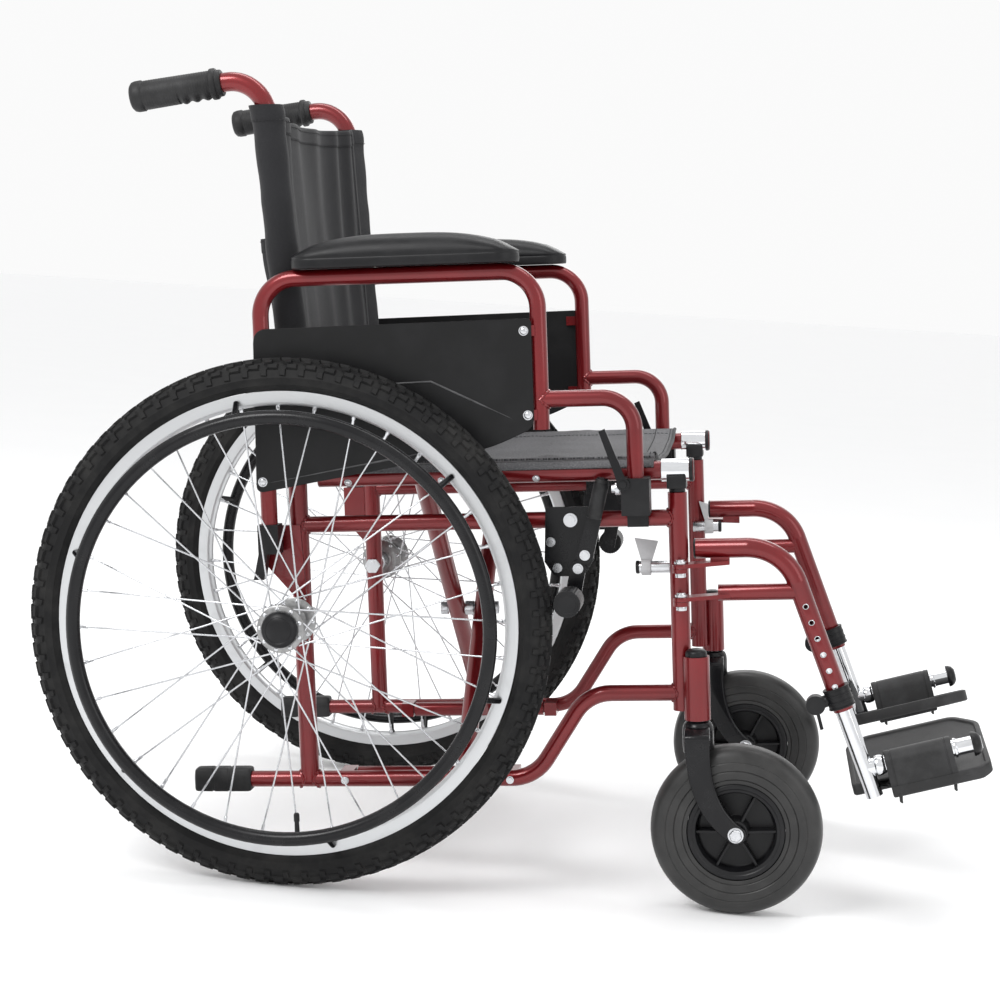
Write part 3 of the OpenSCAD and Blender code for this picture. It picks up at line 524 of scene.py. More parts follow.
# %% [markdown]
# The rear tyre is a mountain-bike tyre: a round carcass with rows of rubber
# blocks, staggered from row to row, and bigger blocks on the shoulders. Each
# block is a small frustum that stands on the carcass, so the tread breaks the
# outline of the wheel as it does on the real one.


# %% Rear tyres with tread blocks
def tyre_point(turn, lean, out):
    """A point on the tyre: turn goes round the wheel, lean goes round the tyre's section."""
    r = TYRE_CORE_R + out * cos(lean)
    return Vector((r * cos(turn), WHEEL_Y + out * sin(lean), r * sin(turn)))


def rear_tyre():
    form, carcass, blocks = Form(), 19.2, 84
    section = []
    for degree in range(-136, 137, 8):
        ridge = 0.7 if abs(degree) in (88, 112) else 0.0
        section.append((TYRE_CORE_R + (carcass + ridge) * cos(radians(degree)),
                        (carcass + ridge) * sin(radians(degree))))
    section += [(266.95, 12.4), (266.95, -12.4)]
    form.turn((0, WHEEL_Y, 0), (0, 1, 0), section, 144, closed=True)
    rows = [(8, 6.2, 3.6, 3.3, 0.0), (29, 4.6, 3.4, 3.1, 0.3), (50, 6.4, 3.6, 3.0, 0.05), (71, 3.6, 4.4, 2.2, 0.5)]
    for lean, long, wide, tall, phase in rows:
        for way in (-1, 1):
            for i in range(blocks):
                turn = 2 * pi * (i + phase + (0.5 if way < 0 else 0)) / blocks
                rings = []
                for out, share in ((carcass - 0.8, 1.12), (carcass + tall, 0.8)):
                    da, dl = long * share / 290, wide * share / out
                    mid = radians(lean) * way
                    rings.append([tyre_point(turn + da * a, mid + dl * b, out)
                                  for a, b in ((-1, -1), (1, -0.8), (1, 0.8), (-1, 1))])
                form.net(rings)
    return form


for tyre in pair(rear_tyre(), "knobbly_tyre", "wheel", "tread_rubber", "rear_tyre"):
    print(tyre.name, len(tyre.data.polygons), "faces")

# %% [markdown]
# The rim is an aluminium channel with two braking flats, turned as a closed
# profile. Spokes already exist, so the wheel gains their nipples at the
# rim, their bent heads on the hub flanges, and the valve.


# %% Rims, nipples, hubs and valves
def rear_rim():
    half = [(266.4, 13), (264.8, 13.3), (253.8, 12.8), (251.4, 10.6), (250.2, 6), (249.9, 0)]
    inner = [(261.5, 0), (262, 9.4), (265.9, 10.6)]
    profile = half + [(r, -y) for r, y in half[-2::-1]] + [(r, -y) for r, y in inner[::-1]] + inner[1:]
    return turned((0, WHEEL_Y, 0), (0, 1, 0), profile, 144, closed=True)


def spoke_ends():
    """For each spoke: its place at the hub, its place at the rim and its side."""
    for i in range(9):
        for k in range(4):
            out, lead = (1 if k < 2 else -1), (1 if k % 2 == 0 else -1)
            a0 = radians(i * 40 + k * 10)
            a1 = a0 + radians(lead * 56)
            hub_y = WHEEL_Y + (37.5 if out > 0 else -25.5) + lead * 1.3
            rim_r, rim_y = RIM_IN - 0.3, WHEEL_Y + out * 3.3 + lead * 1.7
            yield (Vector((27.2 * cos(a1), hub_y, 27.2 * sin(a1))),
                   Vector((rim_r * cos(a0), rim_y, rim_r * sin(a0))), a1, out, lead)


def nipples():
    form = Form()
    for hub, rim, _, _, _ in spoke_ends():
        w = (rim - hub).normalized()
        form.turn(rim - w * 13, w, [(1.35, 0), (1.9, 0.6), (1.9, 8), (2.5, 9), (2.5, 13.5)], 10)
    return form


def hub_body():
    profile = [(6.6, -28), (12, -28), (13, -27.2), (26, -27), (27, -26.3), (27, -24.7), (26, -24), (16, -23.4),
               (11.5, -18), (10.6, 0), (11.5, 24), (16, 35.3), (26, 36), (27, 36.7), (27, 38.3), (26, 39),
               (21.5, 39.3), (21, 41)]
    return turned((0, WHEEL_Y, 0), (0, 1, 0), profile, 64)


def spoke_heads():
    form = Form()
    for hub, rim, angle, out, lead in spoke_ends():
        face = WHEEL_Y + (39 if out > 0 else -24.2)
        at = Vector((23.4 * cos(angle), face if lead > 0 else face - 3, 23.4 * sin(angle)))
        form.turn(at - Vector((0, 0.4 * lead, 0)), (0, lead, 0), [(2.4, 0), (2.4, 0.9), (1.7, 1.6), (0.5, 1.9)], 12)
    return form


def hub_cap():
    profile = [(19, 41), (20.4, 41.2), (20.8, 43), (20.4, 45.5), (18.6, 48.3), (15.2, 50), (14.4, 49.6), (13.6, 50.2),
               (8, 50.9), (0.6, 51)]
    return turned((0, WHEEL_Y, 0), (0, 1, 0), profile, 64)


def valve():
    profile = [(4, -1), (4, 2), (3, 3.5), (2.7, 20), (3.4, 20.5), (3.4, 28), (2.4, 30)]
    return turned((0, WHEEL_Y, -250), (0, 0, 1), profile, 16)


pair(rear_rim(), "turned_rim", "wheel", "aluminium", "rear_rim")
pair(nipples(), "spoke_nipples", "wheel", "zinc_steel")
pair(hub_body(), "hub_shell", "wheel", "hub_metal", "rear_hub")
pair(spoke_heads(), "spoke_heads", "wheel", "zinc_steel")
pair(hub_cap(), "hub_cap", "wheel", "black_plastic")
pair(valve(), "tyre_valve", "wheel", "black_rubber")
print("rear wheels dressed")

# %% [markdown]
# The casters run on solid rubber. Moulding leaves fine steps and a groove on
# the sidewall, which show as thin rings, so they are drawn in the profile.
# The plastic wheel inside has a thin web and six fins between boss and ring.


# %% Casters, their wheels and forks
def caster_tyre():
    half = [(56.4, 20.4), (58.5, 21.4), (60.5, 21.6), (61.2, 20.9), (62, 21.6), (70, 22), (71, 21.2), (72, 22),
            (80, 21.6), (81, 20.8), (82, 21.2), (88, 19.4), (92.5, 16.6), (95.8, 12.6), (97.8, 7.5), (98.5, 2)]
    profile = [(r, -y) for r, y in half] + half[::-1]
    return turned((CASTER_X, CASTER_Y, CASTER_Z), (0, 1, 0), profile, 96, closed=True)


def caster_wheel():
    form = Form()
    half = [(56, 19.6), (54.6, 20.8), (51, 21), (49.6, 19.8), (46.6, 19.4), (45.4, 17), (44, 4), (42, 2.6), (16.5, 2.6),
            (14.6, 6), (14, 22.6), (12.6, 24.2), (9.5, 24.2), (9, 22.8), (4.2, 22.8)]
    profile = [(r, -y) for r, y in half] + half[::-1]
    form.turn((CASTER_X, CASTER_Y, CASTER_Z), (0, 1, 0), profile, 72, closed=True)
    for i in range(6):
        a = radians(60 * i)
        u, v = Vector((cos(a), 0, sin(a))), Vector((-sin(a), 0, cos(a)))
        for way in (-1, 1):
            rows = []
            for r, tall in ((13, 20), (22, 17.5), (34, 16), (45.4, 16.4)):
                at = Vector((CASTER_X, CASTER_Y, CASTER_Z)) + u * r
                fin = ((-1.2, 2), (1.2, 2), (0.8, tall), (-0.8, tall))
                rows.append([at + v * half_wide * 1.7 + Vector((0, way * h, 0)) for half_wide, h in fin])
            form.net(rows)
    return form


def caster_fork():
    form = Form()
    top = HOUSING_LOW
    form.turn((STEM_X, CASTER_Y, top), (0, 0, 1), [(6, -40), (15, -40), (17.6, -37.5), (18, -30), (18, -13), (17.4, -8),
                                                    (15.6, -4), (12.4, -1.4), (10, -0.6), (6, -0.5)], 48)
    steps = 16
    a, b, c = Vector((0, -16)), Vector((-3, -96)), Vector((CASTER_X - STEM_X, CASTER_Z - top))
    left, right = [], []
    for i in range(steps + 1):
        t = i / steps
        p = a * (1 - t) ** 2 + b * 2 * t * (1 - t) + c * t * t
        d = ((b - a) * (1 - t) + (c - b) * t).normalized()
        n, wide = Vector((-d.y, d.x)), 14.6 - 3.8 * t
        left.append(p + n * wide)
        right.append(p - n * wide)
    d = (c - b).normalized()
    end = [c + Vector((cos(t), sin(t))) * 12.4 for t in
           [atan2(d.y, d.x) + radians(w) for w in range(60, -61, -20)]]
    outline = [(STEM_X + p.x, top + p.y) for p in left + end + right[::-1]]
    for way in (-1, 1):
        rows = []
        for y, grow in ((26.2, 1.6), (27.4, 0), (31.4, 0), (33, 2.2)):
            ring = outline if not grow else inset(outline[::-1], grow)[::-1]
            rows.append([Vector((x, CASTER_Y + way * y, z)) for x, z in ring])
        form.net(rows)
    crown = rounded([(-33, -22), (33, -22), (33, -14), (19, -7), (-19, -7), (-33, -14)], 4)
    form.plate(crown, STEM_X - 14, STEM_X + 14, lambda u, v, h: Vector((h, CASTER_Y + u, top + v)))
    return form


def washers():
    form = Form()
    form.turn((STEM_X, CASTER_Y, HOUSING_LOW), (0, 0, 1), [(8, -0.5), (13.4, -0.5), (13.4, 0), (8, 0)], 40, closed=True)
    for way in (-1, 1):
        washer = [(4.2, 0), (9, 0), (9, 1), (4.2, 1)]
        nut = [(7.6, 0), (7.6, 3.2), (6.6, 4.4), (4.3, 4.6), (4, 3.8), (0.5, 3.8)]
        form.turn((CASTER_X, CASTER_Y + way * 33, CASTER_Z), (0, way, 0), washer, 32, closed=True)
        form.turn((CASTER_X, CASTER_Y + way * 34, CASTER_Z), (0, way, 0), nut, 6)
    return form


pair(caster_tyre(), "solid_tyre", "caster_wheel", "caster_rubber", "caster_tyre")
pair(caster_wheel(), "finned_wheel", "caster_wheel", "black_plastic", "caster_hub", bevel=0.4)
pair(caster_fork(), "curved_fork", "caster", "black_steel", "caster_fork", bevel=0.8)
pair(washers(), "caster_washers", "caster", "zinc_steel", bevel=0.2)
print("casters dressed")

# %% [markdown]
# Two painted tubes meet at a weld, and the bead round the smaller one is what
# tells a welded steel frame from a plastic toy. Each bead is a thin lumpy
# tube along the saddle curve where one round tube runs into another.


# %% Weld beads
def bead(form, at, run, host, small, big, seed):
    at, run, host = Vector(at), Vector(run).normalized(), Vector(host).normalized()
    side, path, size = run.cross(host), [], []
    for i in range(48):
        t = 2 * pi * i / 48
        a, b = small * cos(t), small * sin(t)
        path.append(at + host * a + side * b + run * (math.sqrt(max(big * big - b * b, 0)) + 0.2))
        size.append(1.7 + 0.45 * sin(t * 15 + seed))
    form.tube(path, size, 8, loop=True)


def frame_welds():
    form = Form()
    meets = [(0, MID_Z, 1), (FRAME_LEN, MID_Z, -1), (0, LOW_Z, 1), (0, LOW_Z, -1), (FRAME_LEN, RAISE_Z, -1)]
    for seed, (x, z, way) in enumerate(meets, 1):
        bead(form, (x, FRAME_Y, z), (way, 0, 0), (0, 0, 1), RAIL_R, TUBE_R, seed)
    return form


def arm_welds():
    form = Form()
    bead(form, (ARM_FRONT_X, ARM_Y, ARM_STEP_Z), (1, 0, 0), (0, 0, 1), RAIL_R, RAIL_R, 6)
    return form


pair(frame_welds(), "frame_welds", "frame", "red_paint")
pair(arm_welds(), "arm_weld", "armrest", "red_paint")
print("welds made")

# %% [markdown]
# The arm pads are moulded foam with a skin: flat sides, a seam where the two
# mould halves meet, and a crown that falls towards both ends. Rings of the pad's
# outline are moved inwards as they rise, which gives the crown its curve.


# %% Crowned arm pads
PAD_X0, PAD_X1, PAD_R = 12, 274, 27
PAD_BASE = ARM_Z + RAIL_R + 0.3


def pad_height(x):
    share = (x - PAD_X0) / (PAD_X1 - PAD_X0)
    return 16 + 21.3 * (1 - abs(2 * share - 1) ** 3.2)


def arm_pad():
    form, side_h, steps, rows = Form(), 11.5, 18, []
    levels = [(2.6, 0, 0), (0.8, 0.5, 0), (0, 1.8, 0), (0, side_h - 1.2, 0), (0.7, side_h - 0.2, 0),
              (0.8, side_h + 0.5, 0), (0.1, side_h + 1.4, 0)]
    for i in range(1, 11):
        t = i / 10 * pi / 2
        levels.append((PAD_R * 0.985 * (1 - cos(t)), side_h + 1.4, sin(t)))
    for d, base, crown in levels:
        ring = []
        r = PAD_R - min(d, PAD_R * 0.98)
        turns = [radians(-90 + 180 * k / steps) for k in range(steps + 1)]
        run = [PAD_X0 + PAD_R + (PAD_X1 - PAD_X0 - 2 * PAD_R) * k / 24 for k in range(1, 24)]
        flat = [(PAD_X1 - PAD_R + r * cos(t), r * sin(t)) for t in turns] + [(x, r) for x in run[::-1]]
        flat += [(PAD_X0 + PAD_R - r * cos(t), -r * sin(t)) for t in turns] + [(x, -r) for x in run]
        for x, y in flat:
            ring.append(Vector((x, ARM_Y + y, PAD_BASE + base + crown * (pad_height(x) - base))))
        rows.append(ring)
    form.net(rows)
    return form


for pad in pair(arm_pad(), "crowned_pad", "armrest", "pad_skin", "arm_pad", angle=60, sub=2):
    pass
print("pads made")

# %% [markdown]
# The skirt guard is thin black sheet with a pressed crease that stiffens it,
# a turned lower edge and three plated screws. The crease beads are pale grey,
# a painted highlight along the folds.


# %% Skirt guards
SKIRT_Y = ARM_Y + RAIL_R + 0.3


def skirt():
    form = Form()
    outline = rounded([(-38, 147), (234, 192), (286, 214.5), (286, 338), (-34, 335)], [10, 30, 12, 6, 16], 6)
    levels = ((SKIRT_Y, 0.5), (SKIRT_Y + 0.4, 0), (SKIRT_Y + 1.4, 0), (SKIRT_Y + 1.9, 0.6))
    form.net([[Vector((x, y, z)) for x, z in inset(outline, d)] for y, d in levels])
    return form


def skirt_creases():
    form = Form()
    for path in ([(30, 266), (134, 269), (170, 270), (216, 247.5), (261, 225.8)], [(-28, 158), (120, 183), (222, 200)]):
        size = [0.2] + [1.25] * (len(path) - 2) + [0.2]
        form.tube([(x, SKIRT_Y + 1.7, z) for x, z in path], size, 8)
    return form


def skirt_screws():
    form = Form()
    for x, z in ((277.5, 324), (279.5, 229), (-30, 160)):
        form.dome((x, SKIRT_Y + 1.9, z), (0, 1, 0), 4.4, 3)
    return form


pair(skirt(), "skirt_sheet", "armrest", "black_panel", "skirt_guard")
# The crease beads take the pale grey finish, a painted highlight along the folds.
pair(skirt_creases(), "skirt_crease", "armrest", "black_panel", finish="painted_highlight_crease")
pair(skirt_screws(), "skirt_screws", "armrest", "zinc_steel")
print("skirts made")

# %% [markdown]
# The push grips are soft rubber with a domed end, fine ribs on top and finger
# waves underneath. A turned part can't have an underside, so the radius here
# depends on both the distance along the grip and the angle round it.


# %% Push grips
def push_grip():
    form = Form()
    a = Vector((-CANE_LEAN - 152, FRAME_Y + CANE_SPLAY, CANE_TOP - 17))
    b = Vector((-CANE_LEAN, FRAME_Y + CANE_SPLAY, CANE_TOP))
    w = (b - a).normalized()
    side = Vector((0, 1, 0))
    up = side.cross(w) * -1
    ends = [(0.5, -5), (9, -4.9), (14, -4), (16.8, -1.6), (17.8, 2), (17.9, 9), (17.2, 10.2), (16.4, 11), (16.6, 12)]
    mid = [(None, s / 2) for s in range(26, 182)]
    tail = [(17.8, 91.5), (18, 92.6), (18, 96.4), (17.4, 97.6), (15.6, 98.2), (15.2, 103), (14.4, 104), (11.1, 104)]
    rows = []
    for r, s in ends + mid + tail:
        ring = []
        for k in range(48):
            t = 2 * pi * k / 48
            under = max(0.0, -cos(t))
            if r is None:
                rib = 0.16 * sin(s * 2.1) * (1 - under)
                wave = (2.6 * under * (0.5 - 0.5 * cos((s - 52) / 39 * 6 * pi))) if s > 52 else 0
                size = 16.9 - 0.9 * s / 90 + rib + wave - 1.4 * under * (s > 52)
            else:
                size = r
            ring.append(a + w * s + (up * cos(t) + side * sin(t)) * size)
        rows.append(ring)
    form.net(rows)
    return form


pair(push_grip(), "ribbed_grip", "frame", "black_rubber", "push_grip", angle=60)
print("grips made")

# %% [markdown]
# Plugs close the frame's open ends: a stepped rubber foot on the lower tube,
# a cap on the caster housing and the saddle that the seat rail rests in.


# %% Frame plugs
def foot_plug():
    form = Form()
    section = rounded([(-12, -13), (12, -13), (12, 5), (8.5, 14.6), (-8.5, 14.6), (-12, 5)], 3, 4)
    rows = []
    for x, s in ((-138, 0.82), (-136.6, 0.95), (-134, 0.985), (-117, 1), (-116.4, 0.95), (-114.6, 0.95), (-114, 1),
                 (-98, 1), (-97.4, 0.95), (-95.6, 0.95), (-95, 1), (-74, 1), (-71.4, 0.97), (-70, 0.9)):
        rows.append([Vector((x, FRAME_Y + y * s, LOW_Z + z * s)) for y, z in section])
    form.net(rows)
    return form


def housing_cap():
    dome = [(12.4, 0.1), (12.5, 3.6), (11.8, 5.6), (9.2, 7.8), (5, 8.9), (0.5, 9.1)]
    return turned((STEM_X, CASTER_Y, HOUSING_TOP), (0, 0, 1), dome, 40)


def saddle():
    form = Form()
    form.turn((FRAME_LEN, FRAME_Y, POST_TOP), (0, 0, 1), [(9.3, 0), (9.3, 8)], 32)
    arc = [(13 * cos(radians(t)), SEAT_Z + 13 * sin(radians(t))) for t in range(-26, -155, -8)]
    outline = [(-15, 139.2), (15, 139.2), (15, 154.2)] + arc + [(-15, 154.2)]
    form.plate(outline, FRAME_LEN - 11, FRAME_LEN + 11, lambda u, v, h: Vector((h, FRAME_Y + u, v)))
    return form


pair(foot_plug(), "tube_foot", "frame", "black_rubber", "frame_plugs", bevel=0.3)
pair(housing_cap(), "housing_cap", "frame", "black_plastic")
pair(saddle(), "rail_saddle", "frame", "black_plastic", bevel=0.8)
print("plugs made")

# %% [markdown]
# Small fittings finish the frame: chrome sleeves and black discs on the front
# of the seat rails, dark caps on the latch barrels, bright rims in the height
# holes, a rubber sleeve on the brake lever and a knurled roller on its shoe.


# %% Small fittings
SLEEVE_X, SLEEVE_END = 425, 457
ROLLER_X, ROLLER_Z = 321, 19


def rail_sleeve():
    profile = [(11.3, 0), (12.5, 0), (12.95, 0.6), (12.95, 31.4), (12.6, 32), (11.3, 32)]
    return turned((SLEEVE_X, FRAME_Y, SEAT_Z), (1, 0, 0), profile, 40, closed=True)


def rail_disc():
    profile = [(13.2, 0.1), (13.7, 0.8), (13.7, 3.6), (12.4, 5.2), (9, 5.4), (8.4, 4.9), (0.5, 4.9)]
    return turned((SLEEVE_END, FRAME_Y, SEAT_Z), (1, 0, 0), profile, 40)


def latch_cap(side):
    x, way = (393, -1) if side == "right" else (474.5, 1)
    profile = [(7.2, -2.5), (7.6, -2.2), (7.6, 0.8), (6.6, 1.6), (0.5, 1.7)]
    return turned((x, FRAME_Y - 18.3, 46), (way, 0, 0), profile, 28)


def hanger_plug():
    profile = [(11.2, -1), (11.6, -0.4), (11.6, 0.9), (10.2, 1.9), (0.5, 2.1)]
    return turned((FRAME_LEN + 18.5, HANGER_Y, HANGER_Z), (-1, 0, 0), profile, 36)


DOWN = Vector((sin(HANGER_LEAN), 0, -cos(HANGER_LEAN)))
FOOT_TOP = Vector((FOOT_X, HANGER_Y, FOOT_Z))


def hole_rims():
    form = Form()
    for i in range(6):
        at = FOOT_TOP - DOWN * (102 + 19.6 * i) + Vector((0, HANGER_R - 0.55, 0))
        form.turn(at, (0, 1, 0), [(2.6, -0.8), (2.6, 0.5), (3.2, 0.7), (3.6, 0.2), (3.6, -0.8)], 20, closed=True)
    return form


def clamp_rims():
    form = Form()
    for s in (77, 84, 92, 99):
        at = FOOT_TOP - DOWN * s
        form.turn(at, DOWN, [(15, -1.1), (15.7, -0.8), (15.7, 0.8), (15, 1.1), (14.2, 0)], 40, closed=True)
    return form


def lever_sleeve():
    low, high = Vector((349, FRAME_Y + 29, 110)), Vector((359, FRAME_Y + 29, 149))
    curve = [(8.55, -1), (8.7, -0.6), (8.8, 1)]
    for i in range(12):
        curve += [(8.8, 2.4 + i * 2.6), (8.6, 3.1 + i * 2.6), (8.6, 3.7 + i * 2.6), (8.8, 4.4 + i * 2.6)]
    curve += [(8.8, 37), (8.4, 41), (6.8, 44.4), (3.6, 46.2), (0.5, 46.6)]
    return turned(low, high - low, curve, 32)


def roller_knurl():
    form = Form()
    teeth, y0, y1 = 30, WHEEL_Y - 33, WHEEL_Y + 9
    rows = []
    for y, r in ((y0, 14), (y0 + 0.6, 15.2), (y1 - 0.8, 15.2), (y1 + 0.05, 14)):
        ring = []
        for k in range(teeth * 4):
            t = 2 * pi * k / (teeth * 4)
            size = r + (0.25 if k % 4 in (1, 2) else -0.1)
            ring.append(Vector((ROLLER_X + size * cos(t), y, ROLLER_Z + size * sin(t))))
        rows.append(ring)
    form.net(rows)
    form.turn((ROLLER_X, y1, ROLLER_Z), (0, 1, 0), [(12.4, 0), (12.2, 0.5), (10.6, 0.6), (10.2, 0.25), (0.5, 0.25)], 36)
    return form


pair(rail_sleeve(), "rail_sleeve", "rail", "chrome")
pair(rail_disc(), "rail_disc", "rail", "black_plastic")
for side in SIDES:
    make(latch_cap(side), f"{side}_latch_cap", side, f"{side}_frame", "black_plastic")
pair(hanger_plug(), "hanger_plug", "hanger", "black_plastic")
pair(hole_rims(), "hole_rims", "hanger", "zinc_steel")
pair(clamp_rims(), "clamp_rims", "hanger", "black_plastic")
pair(lever_sleeve(), "lever_sleeve", "brake_lever", "black_rubber")
pair(roller_knurl(), "knurled_roller", "brake_shoe", "black_plastic")
print("fittings made")

# %% [markdown]
# The footplates are glass-filled nylon. The plate has clipped corners and a
# raised rim. A deep block beside it holds the barrel that turns on the
# chromed shaft, with two thin pins under it and a small finger loop in front.


# %% Footplates and their shafts
def footplate():
    form = Form()
    x1, y1 = 140, 14 - 164
    corners = [(-20, y1 + 22), (2, y1), (x1 - 28, y1), (x1, y1 + 32), (x1, 2), (x1 - 12, 14), (24, 14), (24, -15),
               (-20, -15)]
    outline = rounded(corners, [6, 8, 10, 10, 6, 4, 2, 2, 5], 4)
    rows = []
    for d, z in ((1.6, 0), (0, 1.6), (0, 12.6), (0.5, 13.6), (1.6, 14), (5.4, 14), (6.4, 13.4), (7.2, 11.8)):
        rows.append([plate_point(x, y, z) for x, y in inset(outline, d)])
    form.net(rows)
    return form


def plate_block():
    form = Form()
    cant = math.tan(PLATE_CANT)
    curve = [(15 * cos(radians(t)), 15 * sin(radians(t))) for t in range(0, 170, 12)]
    section = [(14.2, -37), (15, -36), (15, -3)] + curve
    section += [(-14.9, 2.6), (-14.9 - 37 * cant, -35), (-14.2 - 37 * cant, -37)]
    rows = []
    for x, s in ((24, 0.955), (25, 0.99), (26.4, 1), (30, 1), (30.6, 0.965), (31.6, 0.965), (32.2, 1), (92.6, 1),
                 (93.2, 0.965), (94.2, 0.965), (94.8, 1), (98.8, 1), (100.2, 0.99), (101, 0.955)):
        rows.append([foot_point(x, y * s, z * s) for y, z in section])
    form.net(rows)
    for x in (33, 96):
        form.tube([foot_point(x, 8, -34), foot_point(x - 2, 8, -45), foot_point(x - 1, 8, -47)], [2.2, 1.9, 1.2], 10)
    turns = [radians(12 * k) for k in range(30)]
    loop = [foot_point(112 + 10 * cos(t), 8 + 7 * sin(t), -29) for t in turns]
    form.tube(loop, 1.7, 8, loop=True)
    return form


def shaft_fittings():
    form, axis = Form(), foot_point(1, 0, 0) - foot_point(0, 0, 0)
    form.turn(foot_point(13, 0, 0), axis, [(9.4, -1.5), (11.4, 0), (12, 2.4), (11.6, 6), (10.4, 9.6), (9.4, 10.4)], 36)
    form.turn(foot_point(103, 0, 0), axis, [(9.4, 0), (11.1, 0.4), (11.4, 1.6), (11.1, 3), (9.9, 3.8), (9.9, 5)], 36)
    return form


def shaft_cap():
    form, axis = Form(), foot_point(1, 0, 0) - foot_point(0, 0, 0)
    dome = [(10, -0.2), (13.8, 0), (14.1, 1.4), (13.6, 4), (11.6, 7.6), (7.6, 10.4), (0.5, 11.3)]
    form.turn(foot_point(124, 0, 0), axis, dome, 36)
    return form


pair(footplate(), "rimmed_plate", "footplate", "black_composite", "footplate", bevel=0.3)
pair(plate_block(), "plate_block", "footplate", "black_composite", angle=30)
pair(shaft_fittings(), "shaft_collars", "footrest", "chrome")
pair(shaft_cap(), "shaft_cap", "footrest", "black_plastic")
print("footrests made")

# %% [markdown]
# The seat is a woven sheet that sags between the two seat rails and is sewn to
# a strip wrapped over each of them. The section is one path: up the outside of
# one rail, over its top, across with a shallow sag, and down the other side.
# The cloth is heavier at the front and rear hems, and pulled into short
# creases beside the rails.


# %% Seat sling
SEAT_X0, SEAT_X1, WRAP_R, SAG = 30, 417, 12.6, 11


def seat_section():
    """(y, z, length along the cloth) from the right edge to the left edge."""
    turns = [radians(t) for t in range(22, 113, 10)]
    half = [(FRAME_Y + WRAP_R * cos(t), SEAT_Z + WRAP_R * sin(t)) for t in turns]
    edge_y, edge_z = half[-1]
    full = list(half)
    for i in range(1, 60):
        y = edge_y * (1 - 2 * i / 60)
        full.append((y, edge_z - SAG * (1 - (y / edge_y) ** 2) * (0.55 + 0.45 * (1 - (y / edge_y) ** 2))))
    full += [(-y, z) for y, z in half[::-1]]
    made, run = [], 0.0
    for i, (y, z) in enumerate(full):
        run += math.dist(full[i - 1], (y, z)) if i else 0
        made.append((y, z, run))
    return made


SECTION = seat_section()
FLAT_WIDTH = SECTION[-1][2]


def seat_lift(x, y):
    """How far the cloth stands above its smooth section, in millimetres."""
    near = max(0.0, 1 - (FRAME_Y - 6 - abs(y)) / 60) if abs(y) < FRAME_Y - 6 else 0.0
    crease = 1.5 * near * sin(x / 11.0 + 2 * noise.noise(Vector((x / 60, y / 40, 2)))) ** 3
    full = 4.2 * max(0.0, 1 - abs(FRAME_Y - 20 - abs(y)) / 24) * (0.7 + 0.6 * noise.noise(Vector((x / 48, y / 300, 5))))
    slow = 1.6 * noise.noise(Vector((x / 85, y / 60, 7))) * (1 if abs(y) < FRAME_Y - 8 else 0)
    hem = 0.9 if x > SEAT_X1 - 26 or x < SEAT_X0 + 24 else 0.0
    lip = -2.2 * max(0, (x - SEAT_X1 + 14) / 14) ** 2 * (1 - (abs(y) / FRAME_Y) ** 4 if abs(y) < FRAME_Y else 0)
    return crease + full + slow + hem + lip


TOP_END, WRAP_END = 6, 10


def seat_at(x, i, out=0.0, over=True):
    """A point of the seat: over lays the sheet on top of the strips that wrap the rails."""
    y, z, run = SECTION[i]
    from_edge = min(i, len(SECTION) - 1 - i)
    lap = 3.5 * min(1, max(0, (18 - from_edge) / 5)) if over else 0
    if abs(y) < FRAME_Y - 6:
        return Vector((x, y, z + seat_lift(x, y) + out + lap))
    way = Vector((0, y - math.copysign(FRAME_Y, y), z - SEAT_Z)).normalized()
    return Vector((x, y, z)) + way * (out + lap)


def seat_cloth(first, last, over):
    form, xs, weave, rows = Form(), [], [], []
    x = SEAT_X0
    while x < SEAT_X1:
        xs.append(x)
        x += 2.0 if x < SEAT_X0 + 4 or x > SEAT_X1 - 32 or SEAT_X0 + 20 < x < SEAT_X0 + 28 else 5.0
    xs.append(SEAT_X1)
    for x in xs:
        rows.append([seat_at(x, i, 0, over) for i in range(first, last)])
        weave += [(x * MM, SECTION[i][2] * MM) for i in range(first, last)]
    form.net(rows, around=False, caps=False, cloth=weave)
    return form


def stitches(form, path, long=3.4, gap=2.0, size=0.5):
    """Short raised stitches along a path of close points."""
    done, start, last = 0.0, None, Vector(path[0])
    for p in path[1:]:
        p = Vector(p)
        step = (p - last).length
        count = max(1, int(step / 0.6))
        for k in range(1, count + 1):
            q = last.lerp(p, k / count)
            done += step / count
            phase = done % (long + gap)
            if phase < long and start is None:
                start = q
            elif phase >= long and start is not None:
                form.tube([start, q], size, 5)
                start = None
        last = p


def seat_seams():
    form = Form()
    for x in (SEAT_X0 + 22, SEAT_X0 + 4, SEAT_X1 - 24, SEAT_X1 - 5):
        stitches(form, [seat_at(x, i, 1.35) for i in range(8, len(SECTION) - 8)])
    for i in (14, len(SECTION) - 15):
        stitches(form, [seat_at(x, i, 1.35) for x in range(SEAT_X0 + 3, SEAT_X1 - 2, 4)])
    return form


def seat_piping():
    form = Form()
    for x in (SEAT_X0, SEAT_X1):
        form.tube([seat_at(x, i, 0.3) for i in range(TOP_END + 4, len(SECTION) - TOP_END - 4)], 2.3, 12)
    return form


def rail_studs():
    form = Form()
    for x in (62, 172, 282, 392):
        form.dome((x, FRAME_Y + 8.9, SEAT_Z - 5.4), (0, 0.86, -0.52), 3.6, 2.6, 18)
    return form


def thicken(piece, depth):
    """Gives a single surface the thickness of its cloth."""
    shell = piece.modifiers.new("cloth", "SOLIDIFY")
    shell.thickness, shell.offset, shell.use_even_offset = depth * MM, 0, True
    settle(piece)
    piece.data.polygons.foreach_set("use_smooth", [True] * len(piece.data.polygons))


